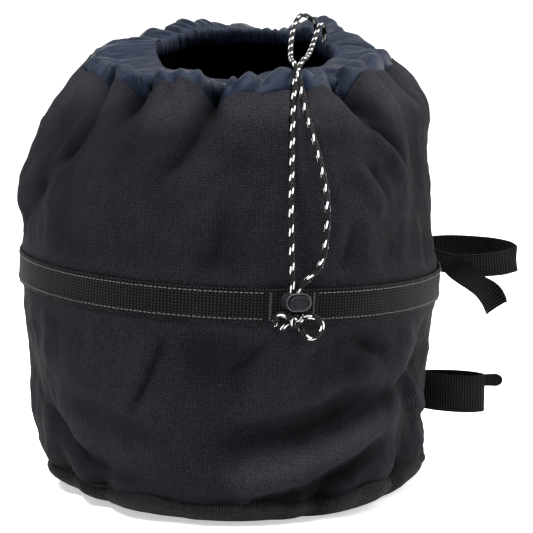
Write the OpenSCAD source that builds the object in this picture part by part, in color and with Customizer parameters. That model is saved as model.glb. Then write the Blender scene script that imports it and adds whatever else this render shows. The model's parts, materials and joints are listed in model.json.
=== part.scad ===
// Upright rope storage bag: a round woven body, a thin gathered collar drawn in by a cord
// in its hem, a spring cord lock on the two falls of the cord, a webbing band with sewn
// stitch rows, and two webbing loops that swing on their sewn roots.
// Millimetres, +Z up, origin on the floor under the middle of the base, front towards -Y.

/* [Body] */
// Radius of the body at the webbing band
body_r = 168; // [160:1:176]
// Height of the body's top edge above the floor, on the middle line
body_top_z = 334; // [326:1:342]
// Thickness of the body cloth
cloth_t = 2; // [1.5:0.1:2.5]
// Height of the lower seam above the floor
base_seam_z = 12; // [10:1:14]
// Radius of the flat part of the base
base_flat_r = 138; // [120:1:142]

/* [Mouth] */
// Radius of the drawn-in hem ring, at the cord's centre
hem_r = 76; // [72:1:80]
// How far the mouth's centre lies to the right of the body's middle line
mouth_x = 10; // [6:1:14]
// Height of the hem ring's centre
hem_z = 341; // [339:1:343]
// Tilt of the hem ring, front edge down, in degrees
hem_tilt = 14; // [12:0.5:15]
// Height of the hem channel's section
hem_h = 14; // [12:0.5:15]
// Width of the hem channel's section
hem_w = 7; // [6.5:0.1:8]

/* [Drawcord and lock] */
// Diameter of the drawcord
cord_d = 4; // [3:0.1:4.2]
// Direction of the cord lock round the body, from the front towards the right, in degrees
lock_turn = 16.2; // [15:0.1:18]
// Height of the lock's centre
lock_z = 173; // [172:0.5:174]
// Distance of the lock's cord slot from the body's middle line
lock_r = 181; // [180.8:0.1:182]
// Lean of the lock's sliding line towards the body, in degrees
lock_lean = 3.8; // [3:0.1:4]
// Width of the lock's oval face
lock_w = 18.5; // [18:0.1:20]
// Height of the lock's oval face
lock_h = 12.5; // [12:0.1:13]
// Travel of the lock's button
button_travel = 2.5; // [2:0.1:2.6]

/* [Webbing] */
// Width of the webbing band
band_w = 25; // [20:1:30]
// Thickness of all webbing
webbing_t = 1.4; // [1.2:0.1:1.6]
// Height of the band's middle
band_z = 170; // [166:1:174]
// Tilt of the band, right side down, in degrees
band_tilt = 2.7; // [0:0.1:3]
// Width of the upper loop's webbing
upper_strap_w = 22; // [20:1:25]
// Width of the lower loop's webbing
lower_strap_w = 32; // [25:1:38]

/* [Hidden] */

$fn = 64;
gap = 0.4;                       // clearance between neighbouring pieces
columns = 36;                    // points round a lofted ring
base_seam_r = 0.935 * body_r;    // radius of the body at its lower seam
band_r = body_r + 1.2;           // inner radius of the band
stitch_r = 0.35;                 // radius of a row of stitching thread
stitch_inset = 3;                // distance of a stitch row from the webbing's edge
overlap_r = band_r + webbing_t + 0.2;   // inner radius of the band's lapped end
overlap_from = 10;               // direction where the lapped end starts, in degrees
overlap_to = 22.5;               // direction where the lapped end stops, in degrees

// Rings of the body, each [height, left, right, front, back, rise]: the height on the
// middle line, the reach to each side, and the rise of the ring per millimetre of Y.
function scaled(f) = f * body_r;
BODY = [
    [base_seam_z, base_seam_r, base_seam_r, base_seam_r, base_seam_r, 0],
    [38, scaled(0.948), scaled(0.94), scaled(0.945), scaled(0.945), 0],
    [76, scaled(0.976), scaled(0.965), scaled(0.97), scaled(0.97), 0],
    [120, scaled(0.995), scaled(0.992), scaled(0.992), scaled(0.992), 0],
    [150, body_r, body_r, body_r, body_r, 0],
    [190, body_r, body_r, body_r, body_r, 0],
    [240, scaled(1.008), scaled(0.966), scaled(0.976), scaled(0.976), 0],
    [266, scaled(0.942), scaled(0.956), scaled(0.942), scaled(0.946), 0.03],
    [304, scaled(0.822), scaled(0.944), scaled(0.838), scaled(0.86), 0.09],
    [320, scaled(0.756), scaled(0.864), scaled(0.78), scaled(0.79), 0.12],
    [body_top_z, scaled(0.69), scaled(0.774), scaled(0.726), scaled(0.72), 0.13]
];
// Rings of the collar, from its sewn edge over the puffed crest to the hem
collar_foot = body_top_z + gap;
hem_reach = hem_r + 5.2;         // where the collar ends, just outside the channel's top
COLLAR = [
    [collar_foot, scaled(0.69), scaled(0.774), scaled(0.726), scaled(0.72), 0.13],
    [collar_foot + 8, 110, 125, 114, 114, 0.16],
    [collar_foot + 15, 101, 114, 100, 101, 0.2],
    [collar_foot + 18.5, 86, 101, 88, 90, 0.22],
    [hem_z + 9.5, hem_reach - mouth_x, hem_reach + mouth_x, hem_reach, hem_reach, 0.249]
];

// One point of a ring: direction a counted from +X, moved inwards by inset
function ring_point(ring, a, inset) =
    let (
        reach_x = (cos(a) > 0 ? ring[2] : ring[1]) - inset,
        reach_y = (sin(a) > 0 ? ring[4] : ring[3]) - inset,
        x = reach_x * cos(a),
        y = reach_y * sin(a)
    )
    [x, y, ring[0] + ring[5] * y];

// The ring between two rings of a loft at height z on the middle line
function ring_at(rings, z, i = 0) =
    i >= len(rings) - 2 || z <= rings[i + 1][0]
        ? let (f = (z - rings[i][0]) / (rings[i + 1][0] - rings[i][0]))
          rings[i] + f * (rings[i + 1] - rings[i])
        : ring_at(rings, z, i + 1);

// A closed cloth tube through the rings, inset by inner and lowered by drop on its inside,
// apart from its foot, which isn't lowered
module cloth_tube(rings, inner, drop = 0) {
    rows = len(rings);
    directions = [for (i = [0:columns - 1]) 360 * i / columns];
    outside = [for (ring = rings) for (a = directions) ring_point(ring, a, 0)];
    inside = [
        for (r = [0:rows - 1]) for (a = directions)
            ring_point(rings[r], a, inner) - [0, 0, r == 0 ? 0 : drop]
    ];
    half = rows * columns;
    walls = [
        for (r = [0:rows - 2]) for (c = [0:columns - 1])
            let (
                a = r * columns + c,
                b = r * columns + (c + 1) % columns,
                d = a + columns,
                e = b + columns
            )
            each [[a, d, e], [a, e, b], [half + a, half + e, half + d], [half + a, half + b, half + e]]
    ];
    top = (rows - 1) * columns;
    rims = [
        for (c = [0:columns - 1])
            let (n = (c + 1) % columns)
            each [
                [c, n, half + n], [c, half + n, half + c],
                [top + c, half + top + n, top + n], [top + c, half + top + c, half + top + n]
            ]
    ];
    polyhedron(points = concat(outside, inside), faces = concat(walls, rims), convexity = 6);
}

// A strip of cloth on the inside or outside of a loft, between two directions
module cloth_strip(rings, from, to, outer, inner) {
    rows = len(rings);
    corners = [[from, outer], [to, outer], [to, inner], [from, inner]];
    points = [for (ring = rings) for (k = corners) ring_point(ring, k[0], k[1])];
    sides = [
        for (r = [0:rows - 2]) for (c = [0:3])
            let (a = 4 * r + c, b = 4 * r + (c + 1) % 4)
            each [[a, a + 4, b + 4], [a, b + 4, b]]
    ];
    last = 4 * (rows - 1);
    polyhedron(
        points = points,
        faces = concat(sides, [[0, 1, 2, 3], [last + 3, last + 2, last + 1, last]]),
        convexity = 4
    );
}

// Routes of the drawcord, in order from the hem to the knot
LEFT_FALL = [
    [77, 34.6, 349.6], [77, 32.6, 357.6], [76.6, 30.5, 363], [74.5, 23, 367], [71, 10, 362.5],
    [67.5, -8, 354], [64, -30, 347], [61, -52, 342.5], [58, -71, 341], [54, -89, 336.2],
    [51, -105, 329.2], [50, -115.4, 320.5], [49, -126, 307], [48.5, -137, 292],
    [48, -145.6, 277], [47.7, -154, 263], [47.3, -163.5, 251], [47, -170.2, 239],
    [47.4, -171.9, 213], [47.8, -173.2, 193], [48.1, -174.4, 175], [48.3, -174.8, 167]
];
RIGHT_TOP = [
    [70.7, 44.4, 352.1], [70.7, 42.4, 360.1], [69.8, 40, 366.5], [65.5, 33, 371.5],
    [59, 19, 374], [54, 2, 370.5], [50.5, -18, 361.5], [48.5, -40, 351.5], [48, -60, 343.5],
    [48.3, -80, 340.2], [50, -96, 338.6], [52, -108.5, 333.4]
];
RIGHT_FALL = [
    [52, -108.5, 333.4], [53.8, -114.4, 327.4], [55.6, -118.6, 318.6], [58, -125.6, 306],
    [62, -136, 293],
    [66, -143.8, 279], [70, -153, 263], [72.5, -161.5, 249], [73, -168.6, 235],
    [72, -170.6, 218], [70.5, -171.6, 206], [66.5, -172.3, 196.5], [60.5, -172.6, 190],
    [55.3, -172.7, 185], [52.9, -172.8, 179.5], [52.7, -173.1, 173], [52.9, -173.5, 166]
];
LOOP = [
    [55.5, -176, 161], [60, -177, 163], [65, -176.5, 162], [68.5, -175, 158],
    [69, -173.5, 153], [66, -172.5, 148.5], [61, -172, 146.5], [56.5, -172.5, 149],
    [53.5, -173.5, 154]
];
LONG_TAIL = [[46, -176, 162], [41, -177.5, 164.5], [36.5, -177, 162.5], [34.8, -175.5, 155.5]];
SHORT_TAIL = [[45.5, -171.5, 158.5], [42.5, -171, 155.5], [40, -171, 151.5]];
KNOT_AT = [50.3, -174, 159.8];
knot_r = 6.2;

// A point on the smooth line through a route, the fraction f of the way after point i
function route_point(route, i, f) =
    let (
        last = len(route) - 1,
        p0 = route[max(i - 1, 0)],
        p1 = route[i],
        p2 = route[min(i + 1, last)],
        p3 = route[min(i + 2, last)]
    )
    0.5 * (2 * p1 + (p2 - p0) * f + (2 * p0 - 5 * p1 + 4 * p2 - p3) * f * f
        + (3 * p1 - p0 - 3 * p2 + p3) * f * f * f);
// The smooth line through a route, with n steps between its points
function smooth(route, n) = concat(
    [for (i = [0:len(route) - 2]) for (k = [0:n - 1]) route_point(route, i, k / n)],
    [route[len(route) - 1]]
);
function unit(v) = v / norm(v);
function direction_at(line, i) =
    unit(line[min(i + 1, len(line) - 1)] - line[max(i - 1, 0)]);
// The side direction at each point of a line, carried along without twist
function sides_of(line) = [
    for (
        i = 0, s = unit(cross(direction_at(line, 0), [0.31, 0.87, 0.38]));
        i < len(line);
        i = i + 1,
        s = i < len(line)
            ? let (t = direction_at(line, i)) unit(s - (s * t) * t)
            : s
    ) s
];

// A round cord swept along a line of points
module cord_tube(line, r, facets = 8) {
    across = sides_of(line);
    rows = len(line);
    points = [
        for (i = [0:rows - 1]) for (k = [0:facets - 1])
            let (t = direction_at(line, i), a = 360 * k / facets)
            line[i] + r * (cos(a) * across[i] + sin(a) * cross(t, across[i]))
    ];
    sides = [
        for (i = [0:rows - 2]) for (k = [0:facets - 1])
            let (a = facets * i + k, b = facets * i + (k + 1) % facets)
            each [[a, a + facets, b + facets], [a, b + facets, b]]
    ];
    last = facets * (rows - 1);
    foot = [for (k = [0:facets - 1]) k];
    head = [for (k = [0:facets - 1]) last + facets - 1 - k];
    polyhedron(points = points, faces = concat(sides, [foot, head]), convexity = 6);
}

// An upright plate with rounded ends, w wide, h high and d deep along Y from 0
module oval(w, h, d) {
    rotate([-90, 0, 0])
        linear_extrude(d) {
            for (side = [-1, 1])
                translate([side * (w - h) / 2, 0])
                    circle(d = h);
            square([w - h, h], center = true);
        }
}

// The frame of the cord lock: Z along the cords, +Y pressed in towards the body
module at_lock() {
    rotate([0, 0, lock_turn])
        translate([0, -lock_r, lock_z])
            rotate([-lock_lean, 0, 0])
                children();
}

// The tilted frame of the hem ring and of the band
module at_hem() {
    translate([mouth_x, 0, hem_z])
        rotate([hem_tilt, 0, 0])
            children();
}
module at_band() {
    translate([0, 0, band_z])
        rotate([0, band_tilt, 0])
            children();
}
// Turns an arc so that it starts at a direction counted from the front to the right
module from_front(a) {
    rotate([0, 0, a - 90])
        children();
}

// ---- body and base ----
module side_panel() {
    color("#23232b")
        cloth_tube(BODY, cloth_t);
}

binding_w = 12;         // width of the binding tape at the lower seam
seam_turn = 26;         // direction of the vertical seam, from +X towards the back
seam_half = 4;          // half the angle that the binding tape covers
module side_seam_binding() {
    tape_lift = gap + 0.6;
    tape_t = 1.6;
    heights = [base_seam_z + binding_w + 2 * gap, 38, 76, 120, 150, 190, 240, 266, 304, 318];
    rings = [for (z = heights) ring_at(BODY, z)];
    color("#1a1a1f")
        cloth_strip(rings, seam_turn - seam_half, seam_turn + seam_half,
            cloth_t + tape_lift, cloth_t + tape_lift + tape_t);
}

base_t = 3;
base_round = 12;
module base_panel() {
    seam_step = 0.5;
    lip_r = base_seam_r - seam_step;
    slope = base_seam_z - gap;
    color("#1e1e25")
        rotate_extrude($fn = 96)
            polygon(concat(
                [[0, 0], [base_flat_r, 0]],
                [for (f = [0.25, 0.5, 0.75, 1])
                    [base_flat_r + (lip_r - base_flat_r) * f, slope * (1 - sqrt(1 - f * f))]],
                [[lip_r - base_t, slope]],
                [for (f = [0.75, 0.5, 0.25])
                    [base_flat_r + (lip_r - base_t - base_flat_r) * f,
                        base_t + (slope - base_t) * (1 - sqrt(1 - f * f))]],
                [[base_flat_r, base_t], [0, base_t]]
            ));
}

module base_seam_binding() {
    tape_t = 1.6;
    outer = base_seam_r - cloth_t - 3 * gap;
    color("#141418")
        translate([0, 0, base_seam_z + gap])
            difference() {
                cylinder(r = outer, h = binding_w);
                translate([0, 0, -1])
                    cylinder(r = outer - tape_t, h = binding_w + 2);
            }
}

// ---- mouth ----
module collar_skirt() {
    color("#39445a")
        cloth_tube(COLLAR, 0.8, 1.4);
}

channel_bore = cord_d / 2 + 0.6;
exit_angles = [28, 37];          // where the two cord ends leave the channel, from +X
module hem_channel() {
    color("#2f3a50")
        at_hem()
            difference() {
                rotate_extrude($fn = 96)
                    translate([hem_r, 0])
                        difference() {
                            union() {
                                for (side = [-1, 1])
                                    translate([0, side * (hem_h - hem_w) / 2])
                                        circle(d = hem_w, $fn = 32);
                                square([hem_w, hem_h - hem_w], center = true);
                            }
                            circle(r = channel_bore, $fn = 32);
                        }
                for (a = exit_angles)
                    rotate([0, 0, a])
                        translate([hem_r, 0, 0])
                            cylinder(r = channel_bore, h = hem_h, $fn = 32);
            }
}

module cord_exit_buttonholes() {
    rim = 1;
    color("#20242e")
        at_hem()
            for (a = exit_angles)
                rotate([0, 0, a])
                    translate([hem_r, 0, hem_h / 2 + 0.2])
                        difference() {
                            cylinder(r = channel_bore + rim, h = 1, $fn = 32);
                            translate([0, 0, -1])
                                cylinder(r = channel_bore, h = 3, $fn = 32);
                        }
}

// ---- drawcord ----
module drawcord_channel_run() {
    clear = 3;                   // angle between the run's ends and the two exits
    turn = 360 - (exit_angles[1] - exit_angles[0]) - 2 * clear;
    color("#111114")
        at_hem()
            rotate([0, 0, exit_angles[1] + clear])
                rotate_extrude(angle = turn, $fn = 96)
                    translate([hem_r, 0])
                        circle(d = cord_d, $fn = 24);
}
module drawcord_left_fall() {
    color("#111114")
        cord_tube(LEFT_FALL, cord_d / 2);
}
module drawcord_right_top() {
    color("#111114")
        cord_tube(RIGHT_TOP, cord_d / 2);
}
module drawcord_right_fall() {
    color("#111114")
        cord_tube(RIGHT_FALL, cord_d / 2);
}
module drawcord_knot() {
    color("#16161a")
        translate(KNOT_AT)
            sphere(r = knot_r, $fn = 32);
}
module drawcord_loop() {
    color("#111114")
        cord_tube(smooth(LOOP, 2), cord_d / 2);
}
module drawcord_long_tail() {
    color("#111114")
        cord_tube(smooth(LONG_TAIL, 2), cord_d / 2);
}
module drawcord_short_tail() {
    color("#111114")
        cord_tube(smooth(SHORT_TAIL, 2), cord_d / 2);
}

// ---- webbing band ----
// Part of a tilted ring round the body: inner radius r, thickness t, width w
module band_arc(r, t, w, from, to) {
    at_band()
        from_front(from)
            rotate_extrude(angle = to - from, $fn = 128)
                translate([r, -w / 2])
                    square([t, w]);
}
module webbing_band() {
    color("#2a2a2e")
        band_arc(band_r, webbing_t, band_w, 0, 360);
}
module band_overlap() {
    color("#2a2a2e")
        band_arc(overlap_r, webbing_t, band_w, overlap_from, overlap_to);
}
module band_overlap_bartacks() {
    tack_w = 0.5;                // width of a bar, in degrees
    tack_inset = 0.6;            // distance of a bar from the lapped end's edge, in degrees
    color("#4a4a50")
        for (a = [overlap_from + tack_inset, overlap_to - tack_inset - tack_w])
            band_arc(overlap_r + webbing_t, 0.4, band_w - 4, a, a + tack_w);
}
module stitch_row(z) {
    clear = 1;                   // angle between the row's ends and the lapped end
    lift = 0.05;
    turn = 360 - (overlap_to - overlap_from) - 2 * clear;
    color("#8c8c92")
        at_band()
            translate([0, 0, z])
                from_front(overlap_to + clear)
                    rotate_extrude(angle = turn, $fn = 128)
                        translate([band_r + webbing_t + stitch_r + lift, 0])
                            circle(r = stitch_r, $fn = 16);
}
module band_upper_stitching() {
    stitch_row(band_w / 2 - stitch_inset);
}
module band_lower_stitching() {
    stitch_row(stitch_inset - band_w / 2);
}

// ---- cord lock ----
lock_back = 8;                   // depth of the barrel behind the cord slot
lock_front = 7;                  // depth of the barrel in front of the cord slot
lock_wall = 1.4;                 // thickness of the barrel's wall
lock_floor = 1;                  // thickness of the barrel's closed end
button_out = 3;                  // how far the button stands out of the barrel at rest
button_play = 0.2;               // clearance round the button
slot_w = 2 * cord_d + 1.6;       // width of the slot for the two cords
slot_d = cord_d + 0.8;           // depth of the slot
button_web = 3.2;                // where the button ends behind the slot
module cord_slot(w, from, to) {
    d = to - from;
    spread = w - d;
    translate([0, (from + to) / 2, -lock_h])
        linear_extrude(2 * lock_h) {
            for (side = [-1, 1])
                translate([side * spread / 2, 0])
                    circle(d = d, $fn = 48);
            square([spread, d], center = true);
        }
}
module lock_barrel() {
    cavity = lock_back + lock_front - lock_floor;
    color("#35383f")
        at_lock()
            difference() {
                translate([0, -lock_front, 0])
                    oval(lock_w, lock_h, lock_front + lock_back);
                translate([0, -lock_front - 1, 0])
                    oval(lock_w - 2 * lock_wall, lock_h - 2 * lock_wall, cavity + 1);
                cord_slot(slot_w, -slot_d / 2, slot_d / 2);
            }
}
// A slot through the button with square ends, long enough for the button's travel
module button_slot(w, from, to) {
    translate([-w / 2, from, -lock_h])
        cube([w, to - from, 2 * lock_h]);
}
module lock_button() {
    face_w = lock_w - 2 * lock_wall - 2 * button_play;
    face_h = lock_h - 2 * lock_wall - 2 * button_play;
    front = -lock_front - button_out;
    color("#3d4048")
        at_lock()
            difference() {
                translate([0, front, 0])
                    oval(face_w, face_h, button_web - front);
                button_slot(slot_w + 0.2, -slot_d / 2 - button_travel, slot_d / 2);
            }
}
module lock_spring() {
    coils = 2.5;
    coil_r = 2.8;
    wire_r = 0.3;
    rings_per_coil = 12;
    from = button_web + wire_r + 0.1;
    to = lock_back - lock_floor - wire_r - 0.1;
    steps = coils * rings_per_coil;
    line = [
        for (i = [0:steps])
            let (a = 360 * i / rings_per_coil)
            [coil_r * cos(a), from + (to - from) * i / steps, coil_r * sin(a)]
    ];
    color("silver")
        at_lock()
            cord_tube(line, wire_r, 6);
}

// ---- webbing loops ----
// Both loops stand on the side seam; each frame has X along the loop and Z up its hinge.
strap_root_r = 2.2;              // radius of the sewn root, round its hinge line
strap_patch_t = 1.2;             // thickness of a root's sewn patch
upper_patch_r = band_r + webbing_t + 2 * stitch_r + gap;
upper_root_turn = 28;            // direction of the upper root, from +X towards the back
upper_root_z = 172;
upper_turn = -25;                // direction in which the upper loop points, from +X
upper_len = 94;
upper_half = 19;
upper_roll = 8;                  // how far the loop's rear side is raised, in degrees
lower_patch_r = scaled(0.97) + gap;
lower_root_turn = 21;
lower_root_z = 55;
lower_turn = -16;
lower_len = 62;
lower_half = 12;

// The frame of a loop whose root stands off a patch at radius r in direction a
module at_strap(r, a, z, turn, clear) {
    root = r + strap_patch_t + gap + strap_root_r + clear;
    translate([root * cos(a), root * sin(a), z])
        rotate([0, 0, turn])
            children();
}
module at_upper_strap() {
    at_strap(upper_patch_r, upper_root_turn, upper_root_z, upper_turn,
        upper_strap_w / 2 * sin(upper_roll))
        children();
}
module at_lower_strap() {
    at_strap(lower_patch_r, lower_root_turn, lower_root_z, lower_turn, 0)
        children();
}
// A drop-shaped outline, pointed at the origin, length l and half width h
function drop(l, h, n = 28) = [
    for (i = [0:n - 1])
        let (a = 180 * i / n)
        [l * sin(a), -h * sin(2 * a)]
];
module webbing_loop(l, h, w, roll) {
    inner_start = 9;             // length of the sewn-together part by the root
    rotate([roll, 0, 0])
        difference() {
            translate([0, 0, -w / 2])
                linear_extrude(w) {
                    polygon(drop(l, h));
                    circle(r = strap_root_r, $fn = 32);
                }
            translate([inner_start, 0, -w])
                linear_extrude(2 * w)
                    polygon(drop(l - inner_start - webbing_t, h - webbing_t));
        }
}
// The root patch: a plate sewn flat on the body behind a loop's root
module strap_patch(r, a, z, w) {
    patch_w = 20;
    margin = 4;
    rotate([0, 0, a])
        translate([r, -patch_w / 2, z - w / 2 - margin])
            cube([strap_patch_t, patch_w, w + 2 * margin]);
}

module upper_strap_patch() {
    color("#1b1b20")
        strap_patch(upper_patch_r, upper_root_turn, upper_root_z, upper_strap_w);
}
module upper_strap_loop() {
    color("#1d1d20")
        at_upper_strap()
            webbing_loop(upper_len, upper_half, upper_strap_w, upper_roll);
}
module upper_strap_tail() {
    tail_l = 40;
    tail_from = [58, -upper_half - 2, -8];
    tail_lean = 24;              // how far its end points away from the bag
    tail_lift = -6;              // how far its end stands out in front of the loop
    color("#2c2c30")
        at_upper_strap()
            translate(tail_from)
                rotate([0, tail_lean, 0])
                    rotate([tail_lift, 0, 0])
                        translate([-upper_strap_w / 2, 0, -tail_l])
                            cube([upper_strap_w, webbing_t, tail_l]);
}
module strap_bartack(w, roll) {
    tack = [2, 0.5, w - 4];      // width along the loop, thickness, height
    out = 3.4;                   // distance of the bar from the hinge line, along and across
    rotate([roll, 0, 0])
        translate([out, -out, -tack[2] / 2])
            cube(tack);
}
module upper_strap_bartack() {
    color("#55555c")
        at_upper_strap()
            strap_bartack(upper_strap_w, upper_roll);
}
module lower_strap_patch() {
    color("#1b1b20")
        strap_patch(lower_patch_r, lower_root_turn, lower_root_z, lower_strap_w);
}
module lower_strap_loop() {
    color("#1d1d20")
        at_lower_strap()
            webbing_loop(lower_len, lower_half, lower_strap_w, 0);
}
module lower_strap_tongue() {
    tongue_h = 11;
    tongue_l = 15;
    tongue_z = 11;
    clear = 0.3;
    color("#6c6c72")
        at_lower_strap()
            translate([lower_len + clear, 0, tongue_z]) {
                translate([0, 0, -tongue_h / 2])
                    cube([tongue_l - tongue_h / 2, webbing_t, tongue_h]);
                translate([tongue_l - tongue_h / 2, 0, 0])
                    rotate([-90, 0, 0])
                        cylinder(d = tongue_h, h = webbing_t, $fn = 32);
            }
}
module lower_strap_bartack() {
    color("#55555c")
        at_lower_strap()
            strap_bartack(lower_strap_w, 0);
}

side_panel();
side_seam_binding();
base_panel();
base_seam_binding();
collar_skirt();
hem_channel();
cord_exit_buttonholes();
drawcord_channel_run();
drawcord_left_fall();
drawcord_right_top();
drawcord_right_fall();
drawcord_knot();
drawcord_loop();
drawcord_long_tail();
drawcord_short_tail();
webbing_band();
band_overlap();
band_overlap_bartacks();
band_upper_stitching();
band_lower_stitching();
lock_barrel();
lock_button();
lock_spring();
upper_strap_patch();
upper_strap_loop();
upper_strap_tail();
upper_strap_bartack();
lower_strap_patch();
lower_strap_loop();
lower_strap_tongue();
lower_strap_bartack();
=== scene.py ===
"""The looks of the rope storage bag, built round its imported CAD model. Metres, +Z up, front -Y.

Directions round the bag are degrees counted from the front (-Y) towards the right (+X).
Lengths in the tables are millimetres, as in the CAD source, and are scaled by MM.
"""

import json
import math

import bpy
import numpy as np
from mathutils import Matrix, Vector, kdtree, noise


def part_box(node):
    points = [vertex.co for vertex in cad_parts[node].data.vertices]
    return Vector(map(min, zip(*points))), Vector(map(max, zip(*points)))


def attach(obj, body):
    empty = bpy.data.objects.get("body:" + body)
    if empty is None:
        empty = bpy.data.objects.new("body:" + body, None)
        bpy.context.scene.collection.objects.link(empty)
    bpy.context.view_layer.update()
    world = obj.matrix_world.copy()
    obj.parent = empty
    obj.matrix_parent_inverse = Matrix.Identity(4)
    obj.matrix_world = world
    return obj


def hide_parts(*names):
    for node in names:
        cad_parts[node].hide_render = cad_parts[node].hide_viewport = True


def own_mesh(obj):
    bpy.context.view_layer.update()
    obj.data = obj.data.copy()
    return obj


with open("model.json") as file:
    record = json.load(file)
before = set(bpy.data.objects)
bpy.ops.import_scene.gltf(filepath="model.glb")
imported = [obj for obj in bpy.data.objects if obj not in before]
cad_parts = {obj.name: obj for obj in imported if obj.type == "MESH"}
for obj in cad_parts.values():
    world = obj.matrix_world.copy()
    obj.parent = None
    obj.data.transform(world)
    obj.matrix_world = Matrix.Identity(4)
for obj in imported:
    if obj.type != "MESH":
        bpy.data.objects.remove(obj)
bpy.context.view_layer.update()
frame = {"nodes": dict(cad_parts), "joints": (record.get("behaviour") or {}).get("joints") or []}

MM = 0.001
NODES = frame["nodes"]
JOINTS = {joint["name"]: joint for joint in frame["joints"]}
WHITE = (1, 1, 1, 1)


def show(name, data):
    """Adds an object with that data to the scene."""
    shown = bpy.data.objects.new(name, data)
    bpy.context.scene.collection.objects.link(shown)
    return shown


# ---- camera ----
CAMERA_AT = (0.0295, -1.320, 0.379)
CAMERA_DIP = 8.96

camera_data = bpy.data.cameras.new("camera")
camera_data.sensor_width = 36
camera_data.lens = 110.43
camera = show("camera", camera_data)
camera.location = CAMERA_AT
camera.rotation_euler = (math.radians(90 - CAMERA_DIP), 0, 0)
bpy.context.scene.camera = camera


# ---- shader helpers ----
def node_maths(operation, swapped=False):
    """An operator of Value: it adds one maths node."""
    def apply(self, other):
        values = (other, self) if swapped else (self, other)
        return self.shader.math(operation, *values)
    return apply


class Value:
    """A number or colour that varies over a surface. Arithmetic on it adds nodes."""

    def __init__(self, shader, socket):
        self.shader = shader
        self.socket = socket

    __add__ = node_maths("ADD")
    __mul__ = node_maths("MULTIPLY")
    __sub__ = node_maths("SUBTRACT")
    __rsub__ = node_maths("SUBTRACT", swapped=True)
    __truediv__ = node_maths("DIVIDE")
    __pow__ = node_maths("POWER")

    def __abs__(self):
        return self.shader.math("ABSOLUTE", self)


class Shader:
    """A node material, built up one value at a time."""

    def __init__(self, name):
        self.material = bpy.data.materials.new(name)
        self.material.use_nodes = True
        self.tree = self.material.node_tree
        self.bsdf = self.tree.nodes["Principled BSDF"]

    def feed(self, socket, value):
        if isinstance(value, Value):
            self.tree.links.new(value.socket, socket)
        else:
            socket.default_value = value

    def add(self, kind, inputs=(), output=0, **settings):
        """Adds a node with those inputs and gives one of its outputs."""
        made = self.tree.nodes.new("ShaderNode" + kind)
        for key, value in settings.items():
            setattr(made, key, value)
        for key, value in dict(inputs).items():
            self.feed(made.inputs[key], value)
        return Value(self, made.outputs[output])

    def math(self, operation, *values, clamp=False):
        return self.add("Math", enumerate(values), operation=operation, use_clamp=clamp)

    def sine(self, value):
        """The sine of that many half turns."""
        return self.math("SINE", value * math.pi)

    def positive(self, value):
        return self.math("MAXIMUM", value, 0.0)

    def uv(self):
        """The two coordinates of the piece's own cloth, in metres."""
        place = self.add("UVMap", uv_map="cloth")
        return [self.add("SeparateXYZ", {0: place}, output=k) for k in (0, 1)]

    def place(self):
        return self.add("TexCoord", output="Object")

    def hollow(self):
        """How deep in a fold a point lies, as mark_hollows keeps it for painted shade and painted
        highlight: 1 deep, -1 on a crest.
        """
        return self.add("Attribute", output="Fac", attribute_name="hollow")

    def noise(self, scale, detail=3.0, roughness=0.55):
        """Cloudy noise over the piece, with about scale lumps in a metre."""
        settings = {"Vector": self.place(), "Scale": scale, "Detail": detail, "Roughness": roughness}
        return self.add("TexNoise", settings)

    def remap(self, value, low, high, to_low, to_high):
        return self.add("MapRange", enumerate((value, low, high, to_low, to_high)))

    def mix(self, factor, first, second):
        return self.add("Mix", {0: factor, 6: first, 7: second}, output=2, data_type="RGBA")

    def bump(self, height, distance, strength=1.0, under=None):
        inputs = {"Strength": strength, "Distance": distance, "Height": height}
        if under is not None:
            inputs["Normal"] = under
        return self.add("Bump", inputs)

    def finish(self, colour, roughness, **sockets):
        """Feeds the surface shader; a socket's name is written with _ for its spaces."""
        sockets = {"Base_Color": colour, "Roughness": roughness, **sockets}
        for key, value in sockets.items():
            self.feed(self.bsdf.inputs[key.replace("_", " ")], value)
        return self.material


def grey(value, red=1.0, blue=1.0):
    return (value * red, value, value * blue, 1)


# ---- materials ----
def plain_weave(shader, pitch):
    """Height of a plain weave with that pitch: warp and weft take turns on top."""
    warp, weft = [shader.sine(coordinate / pitch) for coordinate in shader.uv()]
    over = shader.math("GREATER_THAN", warp * weft, 0.0)
    return (abs(warp) - abs(weft)) * over + abs(weft)


def woven_cloth(name, dark, light, pitch, sheen, tint):
    """Heavy textured polyester: matt, with a visible weave and rubbed, paler patches. It has painted
    shade in the hollows of its folds and a painted highlight on their crests."""
    shader = Shader(name)
    weave = plain_weave(shader, pitch)
    mottle = shader.noise(480, 2.0, 0.75)
    clouds = shader.noise(9, 4.0, 0.6)
    rubbed = shader.remap(clouds, 0.45, 0.7, 0.0, 0.3)
    fleck = shader.remap(mottle, 0.42, 0.6, 0.0, 0.28)
    amount = shader.math("ADD", weave ** 5.0 * 1.05 + fleck, rubbed, clamp=True)
    # Painted shade in the hollows of folds and painted highlight on their crests
    shade = shader.positive(shader.hollow()) * -0.75 + 1.0
    crest = shader.positive(shader.hollow() * -1.0)
    crest_highlight = (2.3 * light[0], 2.3 * light[1], 2.1 * light[2], 1)
    colour = shader.mix(amount * crest, shader.mix(amount * shade, dark, light), crest_highlight)
    creases = shader.bump(shader.noise(55, 6.0, 0.65), 0.006, 0.6)
    pucker = shader.bump(mottle, 0.002, 0.7, under=creases)
    return shader.finish(
        colour, shader.remap(clouds, 0.3, 0.7, 0.62, 0.78),
        Normal=shader.bump(weave, pitch * 0.5, under=pucker), Sheen_Weight=sheen,
        Sheen_Roughness=0.4, Sheen_Tint=tint, Specular_IOR_Level=0.04,
    )


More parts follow.
